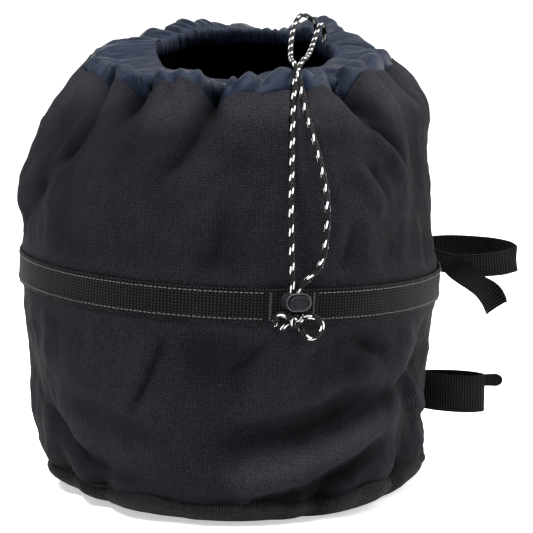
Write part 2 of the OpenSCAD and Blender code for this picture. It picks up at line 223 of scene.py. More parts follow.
def thin_nylon():
    """The collar's thin coated nylon: smoother, slate blue, crinkled and a little shiny. It has painted
    shade, with less shine, in the hollows of its folds.
    """
    shader = Shader("thin_nylon")
    weave = plain_weave(shader, 0.0005)
    clouds = shader.noise(30, 4.0, 0.6)
    # Painted shade: darker and less shiny in the hollows of the folds
    open_part = 1.0 - shader.hollow()
    amount = shader.remap(clouds, 0.3, 0.7, 0.2, 1.0) * open_part
    crinkle = shader.add(
        "TexVoronoi", {"Scale": 60, "Smoothness": 0.25, "Vector": shader.place()},
        output="Distance", feature="SMOOTH_F1",
    )
    folds = shader.bump(crinkle, 0.005, 0.5)
    soft = shader.bump(shader.noise(110, 2.0, 0.5), 0.0009, 0.4, under=folds)
    return shader.finish(
        shader.mix(amount, (0.0003, 0.0006, 0.0018, 1), (0.0045, 0.0074, 0.017, 1)),
        shader.remap(clouds, 0.3, 0.7, 0.36, 0.46), Normal=shader.bump(weave, 0.00012, 0.6, under=soft),
        Sheen_Weight=0.02, Sheen_Roughness=0.4, Sheen_Tint=(0.7, 0.8, 1, 1),
        Specular_Tint=(0.55, 0.7, 1, 1), Specular_IOR_Level=open_part * 0.19 + 0.01,
    )


def webbing(name, dark, light, rib, pick):
    """Coarse webbing: ribs across it, each a row of slanting knuckles, leaning by turns."""
    shader = Shader(name)
    u, v = shader.uv()
    column = u / rib
    row = shader.math("PINGPONG", column, 1.0) * 0.9 + v / pick
    height = abs(shader.sine(row)) ** 4.5 * abs(shader.sine(column)) ** 2.6
    fibre = shader.noise(900, 2.0, 0.7)
    wear = shader.remap(shader.noise(25), 0.4, 0.7, 0.0, 0.04)
    amount = shader.math("ADD", height * shader.remap(fibre, 0.3, 0.7, 0.45, 1.0), wear, clamp=True)
    return shader.finish(
        shader.mix(amount, dark, light), shader.remap(fibre, 0.3, 0.7, 0.5, 0.68),
        Normal=shader.bump(height, 0.0005, 0.9, under=shader.bump(fibre, 0.0002, 0.5)),
        Sheen_Weight=0.006, Specular_IOR_Level=0.04,
    )


BRAID_PITCH = 0.0032


def braided_cord():
    """A black braid with white tracer flecks in staggered pairs."""
    shader = Shader("braided_cord")
    turn, along = shader.uv()
    around = turn * 2.0
    place = shader.math("FLOOR", around) * 0.12 + along / 0.0135

    def dash(middle_turn, middle_along):
        ahead = shader.math("FRACT", place) - middle_along
        slant = shader.math("FRACT", around) - middle_turn + ahead * -0.4
        return shader.math("LESS_THAN", (slant / 0.1) ** 2.0 + (ahead / 0.21) ** 4.0, 1.0)

    flecks = shader.math("MAXIMUM", dash(0.28, 0.3), dash(0.68, 0.5))
    strand = along / BRAID_PITCH
    braid = abs(shader.sine(strand + turn * 4.0)) * abs(shader.sine(strand - turn * 4.0))
    fibre = shader.noise(1500, 2.0, 0.7)
    black = shader.mix(braid * fibre, grey(0.0008), grey(0.007))
    white = shader.mix(fibre, grey(0.6), grey(0.95))
    return shader.finish(
        shader.mix(flecks, black, white), shader.remap(fibre, 0.3, 0.7, 0.5, 0.7),
        Normal=shader.bump(braid, 0.0004, 0.8), Sheen_Weight=0.01, Specular_IOR_Level=0.12,
    )


def thread(name, dark, light):
    """Twisted sewing thread."""
    shader = Shader(name)
    fibre = shader.noise(2500, 3.0, 0.7)
    return shader.finish(
        shader.mix(fibre, dark, light), shader.remap(fibre, 0.3, 0.7, 0.45, 0.65),
        Normal=shader.bump(fibre, 0.0001, 0.6),
    )


def moulded_plastic(name, dark, light, rough, gloss):
    """Moulded plastic with fine grain, handling marks and slightly paler patches."""
    shader = Shader(name)
    grain = shader.noise(2600, 2.0, 0.6)
    marks = shader.noise(240, 4.0, 0.6)
    return shader.finish(
        shader.mix(shader.remap(marks, 0.35, 0.7, 0.0, 1.0), dark, light),
        shader.remap(marks, 0.3, 0.7, rough - 0.08, rough + 0.1),
        Normal=shader.bump(grain, 0.00006, 0.4), Specular_IOR_Level=gloss,
    )


def steel_wire():
    shader = Shader("steel_wire")
    marks = shader.noise(700, 3.0, 0.6)
    colour = shader.mix(marks, grey(0.35), grey(0.6))
    return shader.finish(colour, shader.remap(marks, 0.3, 0.7, 0.22, 0.4), Metallic=1.0)


# For each material: the function that makes it, and that function's values
RECIPES = {
    "body_cloth": (
        woven_cloth, (0.0004, 0.0004, 0.0006, 1), (0.0175, 0.0168, 0.0222, 1), 0.0014, 0.006,
        (0.85, 0.85, 1, 1),
    ),
    "base_cloth": (
        woven_cloth, (0.0006, 0.0006, 0.0007, 1), (0.02, 0.0195, 0.0225, 1), 0.0014, 0.006,
        (0.9, 0.9, 1, 1),
    ),
    "inner_coating": (woven_cloth, grey(0.004), grey(0.009), 0.0008, 0.02, WHITE),
    "binding_tape": (woven_cloth, grey(0.006), grey(0.016), 0.0006, 0.1, WHITE),
    "band_webbing": (webbing, grey(0.0002), grey(0.034, 1, 1.08), 0.0026, 0.0022),
    "strap_webbing": (webbing, grey(0.0003), grey(0.055, 1, 1.05), 0.0023, 0.002),
    "grey_thread": (thread, grey(0.02), grey(0.075)),
    "dark_thread": (thread, grey(0.006), grey(0.03)),
    "lock_plastic": (moulded_plastic, grey(0.006, 1, 1.2), grey(0.018, 1, 1.2), 0.32, 0.35),
    "button_plastic": (moulded_plastic, grey(0.003, 1, 1.4), grey(0.008, 1, 1.4), 0.42, 0.16),
    # rim_plastic: a paler copy of lock_plastic, a painted highlight along the lock's rim
    "rim_plastic": (moulded_plastic, grey(0.012, 1, 1.25), grey(0.026, 1, 1.25), 0.3, 0.35),
}
MATERIALS = {name: make(name, *values) for name, (make, *values) in RECIPES.items()}
MATERIALS["collar_cloth"] = thin_nylon()
MATERIALS["cord_sheath"] = braided_cord()
MATERIALS["spring_steel"] = steel_wire()


# ---- lines and directions ----
def unit(vectors):
    return vectors / np.maximum(np.linalg.norm(vectors, axis=-1, keepdims=True), 1e-12)


def compass(turns):
    """How far right and how far back each direction points."""
    a = np.radians(turns)
    return np.sin(a), -np.cos(a)


def even_turns(count):
    return np.linspace(-180, 180, count, endpoint=False)


def along_line(points):
    """How far each point lies along its line; points has the shape (..., count, 3)."""
    steps = np.linalg.norm(np.diff(points, axis=-2), axis=-1)
    return np.concatenate([np.zeros(steps.shape[:-1] + (1,)), np.cumsum(steps, axis=-1)], axis=-1)


def wrap(degrees):
    return (degrees + 180) % 360 - 180


def step_up(value, low, high):
    """0 up to low, 1 from high on, and smooth between them."""
    t = np.clip((value - low) / (high - low), 0, 1)
    return t * t * (3 - 2 * t)


def bell(value, width):
    """1 at 0, and falling away smoothly over that width."""
    return np.exp(-(value / width) ** 2)


def hills(turns, table, base=0.0):
    """Heights round the bag: base, with a rounded hill for each (direction, width, height)."""
    total = base + np.zeros(np.shape(turns))
    for direction, width, height in table:
        total = total + height * bell(wrap(turns - direction), width)
    return total


def with_valley(total, turns, centre, width, depth, sharpness):
    """Adds one valley to total, where it is deeper than those it has."""
    away = np.abs(wrap(turns - centre)) / width
    return np.maximum(total, depth * np.exp(-away ** sharpness))


def smoothed(values, sigma):
    """Values along an evenly spaced line, softened, with both ends kept."""
    reach = int(4 * sigma)
    kernel = np.exp(-0.5 * (np.arange(-reach, reach + 1) / sigma) ** 2)
    kernel /= kernel.sum()
    reach = min(reach, len(values) - 1)
    before = 2 * values[0] - values[1:reach + 1][::-1]
    after = 2 * values[-1] - values[-reach - 1:-1][::-1]
    padded = np.concatenate([before, values, after])
    middle = (len(kernel) - 1) // 2
    centre = kernel[middle - reach:middle + reach + 1]
    return np.convolve(padded, centre / centre.sum(), "valid")


def smooth_line(route, step):
    """Points in metres every step along the smooth curve through a route in millimetres."""
    p = np.array(route, float) * MM
    p = np.concatenate([[2 * p[0] - p[1]], p, [2 * p[-1] - p[-2]]])
    f = np.linspace(0, 1, 24, endpoint=False)[:, None]
    parts = [
        b + f * (c - a + f * (2 * a - 5 * b + 4 * c - d + f * (3 * b - a - 3 * c + d))) / 2
        for a, b, c, d in zip(p[:-3], p[1:-2], p[2:-1], p[3:])
    ]
    fine = np.concatenate(parts + [p[-2:-1]])
    along = along_line(fine)
    places = np.linspace(0, along[-1], max(int(along[-1] / step), 3) + 1)
    return np.stack([np.interp(places, along, fine[:, k]) for k in range(3)], axis=1)


# ---- mesh helpers ----
def make_object(name, vertices, faces, uvs, slots, body, node):
    """A smooth mesh object that rides a body and stands for a CAD node, unless that is None.
    uvs holds one pair per face corner."""
    mesh = bpy.data.meshes.new(name)
    mesh.from_pydata([tuple(p) for p in vertices], [], [tuple(f) for f in faces])
    layer = mesh.uv_layers.new(name="cloth")
    layer.data.foreach_set("uv", np.asarray(uvs, np.float32).ravel())
    for slot in slots:
        mesh.materials.append(MATERIALS[slot])
    mesh.polygons.foreach_set("use_smooth", [True] * len(mesh.polygons))
    mesh.update()
    piece = show(name, mesh)
    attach(piece, body)
    if node is not None:
        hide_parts(node)
    return piece


def grid_mesh(name, points, across, down, closed_rows, closed_columns, caps, slots, body, node):
    """A mesh over a grid of points, (rows, columns, 3), with the cloth coordinates across and
    down. Each of caps is one more face: its points, and their cloth coordinates."""
    rows, columns = points.shape[:2]
    row_steps = rows if closed_columns else rows - 1
    column_steps = columns if closed_rows else columns - 1
    r, c = np.indices((row_steps, column_steps)).reshape(2, -1)
    corners = [(r, c), (r, c + 1), (r + 1, c + 1), (r + 1, c)]
    faces = np.stack([(i % rows) * columns + (j % columns) for i, j in corners], axis=1).tolist()
    uvs = np.stack([np.stack([across[j], down[i]], axis=1) for i, j in corners], axis=1)
    uvs = uvs.reshape(-1, 2).tolist()
    for cap, cap_uvs in caps:
        faces.append(cap)
        uvs += cap_uvs
    return make_object(name, points.reshape(-1, 3), faces, uvs, slots, body, node)


def grid_object(name, points, slots, body, node, closed_columns=False, flat=None, caps=()):
    """A mesh over a grid that is closed along its rows. Its cloth coordinates are metres along
    it, or run evenly over the flat size that is given."""
    lines = points.transpose(1, 0, 2)
    if closed_columns:
        lines = np.concatenate([lines, lines[:, :1]], axis=1)
    across = along_line(np.concatenate([points, points[:, :1]], axis=1)).mean(axis=0)
    down = along_line(lines).mean(axis=0)
    if flat is not None:
        across = np.linspace(0, flat[0], len(across))
        down = np.linspace(0, flat[1], len(down))
    return grid_mesh(name, points, across, down, True, closed_columns, caps, slots, body, node)


def grid_normals(points):
    """Unit normals of a grid that is closed along its rows."""
    across = np.roll(points, -1, axis=1) - np.roll(points, 1, axis=1)
    return unit(np.cross(across, np.gradient(points, axis=0)))


def mark_hollows(piece, hollows):
    """Keeps how deep in a fold each point of a grid lies, for its material's painted shade and painted
    highlight: 1 deep, -1 crest.
    """
    layer = piece.data.attributes.new("hollow", "FLOAT", "POINT")
    layer.data.foreach_set("value", np.clip(hollows, -1, 1).astype(np.float32).ravel())


def thicken(piece, thickness, inner_slot=0):
    """Gives a sheet its real thickness, on the inside."""
    wall = piece.modifiers.new("thickness", "SOLIDIFY")
    wall.thickness = thickness * MM
    wall.offset = -1.0
    wall.material_offset = inner_slot
    wall.material_offset_rim = 0


def soften_edges(piece, width):
    bevel = piece.modifiers.new("edges", "BEVEL")
    bevel.width = width * MM
    bevel.segments = 3
    return bevel


def spread_noise(points, scale, seed, octaves=3, stretch=(1, 1, 1)):
    """Smooth noise at each point of a grid, about -1 to 1, with scale lumps in a metre."""
    factor = np.array(stretch) * scale
    shift = np.array([17.3, 5.1, 9.7]) * seed
    places = points.reshape(-1, 3) * factor + shift
    values = [noise.fractal(Vector(p), 0.9, 2.1, octaves) for p in places]
    return np.array(values).reshape(points.shape[:-1])


def crumple(points, scale, seed, stretch=(1, 1, 1)):
    """Facets such as stiff crumpled cloth has: 0 at the dents, about 1 along the ridges."""
    factor = np.array(stretch) * scale
    places = points.reshape(-1, 3) * factor + seed * 3.7
    values = [noise.voronoi(Vector(p))[0][0] for p in places]
    return np.array(values).reshape(points.shape[:-1])


def moved_along(points, directions, distance):
    """Points moved along their directions, by a distance in millimetres."""
    return points + directions * (distance * MM)[:, :, None]


# ---- the bag's rings, as in the CAD source ----
BODY_R = 168.0
BODY_TOP_Z = 334.0
BASE_SEAM_Z = 12.0
BASE_SEAM_R = 0.935 * BODY_R
BASE_FLAT_R = 138.0
MOUTH_X = 10.0
HEM_R = 76.0
HEM_Z = 341.0
HEM_TILT = math.radians(14)
HEM_REACH = HEM_R + 5.2
HEM_HALF_H = 6.4
HEM_DROP = 2.5
BAND_Z = 170.0
BAND_TILT = math.radians(2.7)
BAND_W = 25.0
BAND_R = BODY_R + 1.2
WEBBING_T = 1.4
BODY_CLOTH_T = 1.6
COLLAR_CLOTH_T = 0.6
SEAM_TURN = 90 + 26


def ring(height, left, right, front, back, rise):
    return [height, left * BODY_R, right * BODY_R, front * BODY_R, back * BODY_R, rise]


# Each ring: height, its reach to the left, right, front and back, and how steeply it rises backwards
BODY = [
    ring(BASE_SEAM_Z, 0.935, 0.935, 0.935, 0.935, 0),
    ring(38, 0.948, 0.94, 0.945, 0.945, 0),
    ring(76, 0.976, 0.965, 0.97, 0.97, 0),
    ring(120, 0.995, 0.992, 0.992, 0.992, 0),
    ring(150, 1, 1, 1, 1, 0),
    ring(190, 1, 1, 1, 1, 0),
    ring(240, 1.008, 0.966, 0.976, 0.976, 0),
    ring(266, 0.942, 0.956, 0.942, 0.946, 0.03),
    ring(304, 0.822, 0.944, 0.838, 0.86, 0.09),
    ring(320, 0.756, 0.864, 0.78, 0.79, 0.12),
    ring(BODY_TOP_Z, 0.69, 0.774, 0.726, 0.72, 0.13),
]
COLLAR = [
    ring(BODY_TOP_Z + 0.4, 0.69, 0.774, 0.726, 0.72, 0.13),
    [BODY_TOP_Z + 8.4, 110, 125, 114, 114, 0.16],
    [BODY_TOP_Z + 15.4, 101, 114, 100, 101, 0.2],
    [BODY_TOP_Z + 18.9, 86, 101, 88, 90, 0.22],
    [HEM_Z + 9.5, HEM_REACH - MOUTH_X, HEM_REACH + MOUTH_X, HEM_REACH, HEM_REACH, 0.249],
]


def ring_rows(rings, count, sigma):
    """The rings of a loft, resampled evenly along it and rounded off."""
    rings = np.array(rings, float)
    steps = np.hypot(np.diff(rings[:, 0]), np.diff(rings[:, 3]))
    along = np.concatenate([[0], np.cumsum(steps)])
    fine = np.arange(0, along[-1], 0.5)
    dense = [smoothed(np.interp(fine, along, rings[:, k]), sigma * 2) for k in range(6)]
    places = np.linspace(0, fine[-1], count)
    return np.stack([np.interp(places, fine, d) for d in dense], axis=1), places


def loft(rows, turns):
    """Points of each ring in each direction, in metres."""
    side, depth = compass(turns[None, :])
    height, left, right, front, back, rise = [rows[:, k][:, None] for k in range(6)]
    x = np.where(side > 0, right, left) * side
    y = np.where(depth > 0, back, front) * depth
    return np.stack([x, y, height + rise * y], axis=2) * MM


# ---- cords ----
CORD_R = 2.0
CORD_STEP = 0.0009
CORD_RELIEF = 0.00016
# How near the cords cloth is looked at, and how near to a point of it cords are searched for
NEAR_CORDS = 0.02
CORD_SEARCH = 0.012
CORD_ROUTES = {
    "left_fall": [
        (77, 34.6, 349.6), (77, 32.6, 357.6), (76.6, 30.5, 363), (74.5, 23, 367), (71, 10, 362.5),
        (67.5, -8, 354), (64, -30, 347), (61, -52, 342.5), (58, -71, 341), (54, -89, 336.2),
        (51, -105, 329.2), (50, -115.4, 320.5), (49, -126, 307), (48.5, -137, 292),
        (48, -145.6, 277), (47.7, -154, 263), (47.3, -163.5, 251), (47, -170.2, 239),
        (47.4, -171.9, 213), (47.8, -173.2, 193), (48.1, -174.4, 175), (48.3, -174.8, 167),
    ],
    "right_top": [
        (70.7, 44.4, 352.1), (70.7, 42.4, 360.1), (69.8, 40, 366.5), (65.5, 33, 371.5),
        (59, 19, 374), (54, 2, 370.5), (50.5, -18, 361.5), (48.5, -40, 351.5), (48, -60, 343.5),
        (48.3, -80, 340.2), (50, -96, 338.6), (52, -108.5, 333.4),
    ],
    "right_fall": [
        (52, -108.5, 333.4), (53.8, -114.4, 327.4), (55.6, -118.6, 318.6), (58, -125.6, 306),
        (62, -136, 293), (66, -143.8, 279), (70, -153, 263), (72.5, -161.5, 249), (73, -168.6, 235),
        (72, -170.6, 218), (70.5, -171.6, 206), (66.5, -172.3, 196.5), (60.5, -172.6, 190),
        (55.3, -172.7, 185), (52.9, -172.8, 179.5), (52.7, -173.1, 173), (52.9, -173.5, 166),
    ],
    "loop": [
        (55.5, -176, 161), (60, -177, 163), (65, -176.5, 162), (68.5, -175, 158),
        (69, -173.5, 153), (66, -172.5, 148.5), (61, -172, 146.5), (56.5, -172.5, 149),
        (53.5, -173.5, 154),
    ],
    "long_tail": [(46, -176, 162), (41, -177.5, 164.5), (36.5, -177, 162.5), (34.8, -175.5, 155.5)],
    "short_tail": [(45.5, -171.5, 158.5), (42.5, -171, 155.5), (40, -171, 151.5)],
}
KNOT_AT = (50.3, -174, 159.8)
KNOT_SIZE, KNOT_CORD_R = 1.55, 1.85


def tube_object(name, line, radius, slot, body, node, sides=20, relief=CORD_RELIEF):
    """A round tube along a line, with rounded ends; relief raises the braid's crossings."""
    tangents = unit(np.gradient(line, axis=0))
    side = np.cross(tangents[0], (0.31, 0.87, 0.38))
    along = along_line(line)
    turns = np.arange(sides)[:, None] * 2 * math.pi / sides
    rows = []
    for point, tangent, s in zip(line, tangents, along):
        side = unit(side - tangent * side.dot(tangent))
        up = np.cross(tangent, side)
        from_end = min(s, along[-1] - s) / (0.5 * radius)
        cap = math.sqrt(max(1 - max(1 - from_end, 0) ** 2, 0.0))
        strand = math.pi * s / BRAID_PITCH
        crossings = np.abs(np.sin(strand + 4 * turns) * np.sin(strand - 4 * turns))
        r = radius * (0.45 + 0.55 * cap) + relief * (crossings - 0.5)
        rows.append(point + r * (np.cos(turns) * side + np.sin(turns) * up))
    ends = [list(range(sides))[::-1], [(len(line) - 1) * sides + k for k in range(sides)]]
    caps = [(end, [(0, at)] * sides) for end, at in zip(ends, (0, along[-1]))]
    across = np.arange(sides + 1) / sides
    return grid_mesh(name, np.array(rows), across, along, True, False, caps, [slot], body, node)


def overhand_knot():
    """A tight overhand knot as a closed tube: the cord's turns round each other."""
    t = np.linspace(0, 2 * math.pi, 260)
    x = np.sin(t) + 2 * np.sin(2 * t)
    z = np.cos(t) - 2 * np.cos(2 * t)
    y = -1.25 * np.sin(3 * t)
    line = np.stack([x, y, z], axis=1) * KNOT_SIZE * MM + np.array(KNOT_AT) * MM
    return tube_object("cord_knot", line, KNOT_CORD_R * MM, "cord_sheath", "bag", "drawcord_knot")


cord_lines = {part: smooth_line(route, CORD_STEP) for part, route in CORD_ROUTES.items()}
cords = {
    part: tube_object("cord_" + part, line, CORD_R * MM, "cord_sheath", "bag", "drawcord_" + part)
    for part, line in cord_lines.items()
}
knot = overhand_knot()
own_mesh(cords["right_fall"])

cord_points = np.concatenate(list(cord_lines.values()))
cord_tree = kdtree.KDTree(len(cord_points))
for index, point in enumerate(cord_points):
    cord_tree.insert(point, index)
cord_tree.balance()


def clear_of_cords(points, room):
    """Presses a surface in wherever a cord lies on it, by the cord's radius and room, in
    millimetres."""
    flat_points = points.reshape(-1, 3)
    flat_normals = grid_normals(points).reshape(-1, 3)
    keep = (CORD_R + room) * MM
    low, high = cord_points.min(0) - NEAR_CORDS, cord_points.max(0) + NEAR_CORDS
    for i in np.where(((flat_points > low) & (flat_points < high)).all(axis=1))[0]:
        point, normal = flat_points[i], flat_normals[i]
        for _, index, _ in cord_tree.find_range(Vector(point), CORD_SEARCH):
            offset = point - cord_points[index]
            height = offset.dot(normal)
            aside = math.sqrt(max(offset.dot(offset) - height * height, 0.0))
            if aside < keep:
                limit = -math.sqrt(keep * keep - aside * aside)
                point += normal * min(limit - height, 0.0)
        flat_points[i] = point
    return flat_points.reshape(points.shape)


# ---- body cloth ----
# Where the gathered seam is pinched in: direction, depth, width in degrees, lean of the crease
NOTCHES = [
    (-53, 0.7, 4.5, 3), (-36, 1.0, 5.0, -4), (-4.5, 1.1, 4.5, -3), (42, 1.2, 3.8, 9),
    (74, 0.5, 2.6, 2), (104, 0.5, 3.2, -4), (131, 1.0, 5.0, 4), (158, 0.8, 6.0, -3),
    (-172, 1.0, 5.0, 5), (-146, 0.9, 5.0, -3), (-118, 0.8, 6.0, 4), (-86, 0.9, 5.5, -2),
]
# Smaller tucks between them: direction, depth, width
TUCKS = [(-68, 0.35, 3), (-20, 0.25, 3), (12, 0.2, 4), (27, 0.22, 3), (58, 0.35, 3), (88, 0.2, 2.5)]
# How the seam rises and falls between them: direction, width in degrees, height
SEAM_WAVES = [(-16, 9, 8), (16, 17, -4.5), (56, 7, 5), (-45, 5, 3), (-28, 6, 3), (41, 5, -8)]
# Single creases in the body: start and end as (direction, height), depth, width in mm
CREASES = [
    ((-16, 142), (-24, 92), 2.6, 4.5), ((-28, 178), (-33, 150), 1.2, 5),
    ((44, 300), (57, 262), 3.2, 5), ((40, 268), (47, 240), 2.0, 6),
    ((-8, 296), (-17, 262), 2.4, 6), ((-50, 300), (-54, 268), 2.2, 5),
    ((12, 150), (3, 120), 1.6, 5), ((30, 150), (44, 118), 1.5, 7),
    ((62, 102), (12, 70), 3.2, 11), ((-60, 70), (-40, 34), 1.8, 8),
    ((70, 210), (64, 160), 1.8, 9), ((-58, 252), (-72, 215), 1.6, 7),
    ((0, 235), (-4, 190), 1.3, 8), ((34, 226), (30, 192), 1.3, 7),
    ((96, 270), (108, 225), 2.4, 7), ((140, 290), (126, 240), 2.6, 8),
    ((172, 150), (158, 90), 2.4, 9), ((-160, 260), (-172, 205), 2.2, 8),
    ((-130, 130), (-142, 70), 2.4, 9), ((-100, 240), (-108, 190), 1.8, 8),
    ((120, 140), (132, 84), 2.2, 9), ((-95, 110), (-84, 60), 1.8, 8),
]
# Broad folds of slack cloth low in the body, lit from above and undercut below: start and end
# as (direction, height), height of the fold, width in mm
SLACK_FOLDS = [((44, 62), (2, 30), 11, 15), ((-20, 40), (-48, 62), 4, 12), ((74, 60), (60, 92), 5, 11)]
# Painted highlights on the gathered shoulder: direction, width in degrees, how pale
SHOULDER_HIGHLIGHTS = [(-22, 11, 0.9), (54, 9, 1.0), (-140, 14, 0.6), (146, 12, 0.6), (-95, 12, 0.5)]
# Tucks of the body cloth where it sags over the lower seam: direction, depth, width
SAGS = [
    (-57, 0.7, 6), (-41, 1.1, 4.5), (-12, 0.3, 6), (15, 0.4, 5), (26, 1.2, 4.5), (57, 1.1, 6),
    (80, 0.6, 7), (108, 0.8, 8), (139, 1.0, 8), (168, 0.8, 8), (-162, 0.7, 8), (-133, 1.0, 7),
    (-104, 0.8, 8), (-78, 0.7, 7),
]
# Where the foot is drawn in, or let out if less than 0, and lifted: direction, width, millimetres
FOOT_DRAWN_IN = [(-50, 30, 1.5), (40, 40, -3.5)]
FOOT_LIFTED = [(-50, 40, 2.5)]
# Where the lower seam rides up over the bulging base: direction, width in degrees, height
FOOT_RISES = [
    (-24, 9, 6), (-70, 17, 6), (8, 10, 3), (43, 9, 7), (67, 14, 8), (100, 12, 3), (140, 16, 5),
    (-170, 14, 4), (-125, 14, 6),
]


def seam_valleys(turns, below):
    """1 in the middle of each pinched valley, 0 between; below is the distance from the seam."""
    total = np.zeros(np.broadcast(turns, below).shape)
    for direction, depth, width, lean in NOTCHES:
        centre = direction + lean * np.clip(below / 40, 0, 2)
        total = with_valley(total, turns, centre, width * (1 + below / 22), depth, 1.05)
    for direction, depth, width in TUCKS:
        total = with_valley(total, turns, direction, width * (1 + below / 30), depth, 1.3)
    return total


def seam_lift(turns, valleys):
    """How far the gathered seam stands above its ring, in millimetres."""
    return hills(turns, SEAM_WAVES, 4.5 * (1 - np.minimum(valleys, 1)) - 4.5 * valleys)


def beside_line(turns, heights, start, end):
    """Where points lie by a line on the body between two places, (direction, height): how far
    along it, from 0 to 1, and how far to the left of it in millimetres."""
    per_degree = math.radians(1) * BODY_R
    x = wrap(turns - start[0]) * per_degree
    y = heights - start[1]
    step = np.array([(end[0] - start[0]) * per_degree, end[1] - start[1]])
    length = np.hypot(*step)
    along = (x * step[0] + y * step[1]) / length ** 2
    return along, (y * step[0] - x * step[1]) / length


def crease_heights(turns, heights):
    """Sharp valleys with a soft ridge beside them, in millimetres."""
    total = np.zeros(heights.shape)
    for start, end, depth, width in CREASES:
        t, left = beside_line(turns, heights, start, end)
        off = 2.5 * np.sin(3 * t) - left
        fade = bell(np.maximum(np.abs(t - 0.5) - 0.25, 0), 0.3)
        valley = np.exp(-np.abs(off / width) ** 1.4)
        ridge = bell(off - 1.9 * width, 1.5 * width)
        total += fade * depth * (0.75 * ridge - valley)
    return total


def slack_heights(turns, heights):
    """Folds that lean outward: a long slope above the fold's crest and a short one below it.
    Gives their heights, and how much each point of that long slope catches the light."""
    total = np.zeros(heights.shape)
    lit = np.zeros(heights.shape)
    for start, end, height, width in SLACK_FOLDS:
        t, left = beside_line(turns, heights, start, end)
        above = left * np.sign(end[0] - start[0]) + 4 * np.sin(3 * t)
        fade = bell(np.maximum(np.abs(t - 0.5) - 0.3, 0), 0.22)
        crest = bell(above, np.where(above > 0, width, 0.55 * width))
        hollow = bell(above - 2.3 * width, 0.9 * width)
        under = bell(above + 1.15 * width, 0.4 * width)
        total += fade * height * (crest - 0.75 * hollow - 0.55 * under)
        lit += fade * height / 11 * bell(above - 0.55 * width, 0.75 * width)
    return total, lit


def foot_shift(heights, radius, turns):
    """How the soft foot of the bag moves: slid a little to the right, drawn in at the sides and
    lifted at its left front, where the cloth hangs slack."""
    side, depth = compass(turns)
    inward = hills(turns, FOOT_DRAWN_IN, 0.5)
    shift = np.stack([3 - inward * side, -3 - inward * depth, hills(turns, FOOT_LIFTED)], axis=-1)
    edge = step_up(radius, 100, 150) * bell(heights, 34)
    return edge[:, :, None] * shift * MM


# How far each kind of unevenness moves the body's cloth, in millimetres
PINCH, PUFF, SIDE_PUFF = 15, 4.5, 5
SAG, FOLDS, FINE_FOLDS, FACETS = 5.0, 5.0, 0.7, 6.5
CREASE_SCALE = 2.5
BULGE, TUCK, SEAM_PULL, LEFT_SWELL = 4.5, 12, 1.5, 6.5
# The same for the collar
COLLAR_PINCH, COLLAR_LOBES, COLLAR_FOLD = 13, 6, 12
COLLAR_FACETS, COLLAR_SOFT, COLLAR_PLEATS = 6.5, 2.4, 2.6
# The same for the base
BASE_SWELL, BASE_FOLD, BASE_NOISE, BASE_FACETS = 6.5, 6, 0.9, 1.2
# Directions of the swells at the bag's sides, and of the lower loop's patch
RIGHT_SIDE, LEFT_SIDE, LOWER_PATCH = 90, -88, 111
LOWER_PATCH_Z = 55


# How many points the grids have round the bag, and how many rows
BODY_GRID = (576, 168)
COLLAR_GRID = (1152, 45)
HEM_GRID = (1080, 28)
BASE_COLUMNS = 432


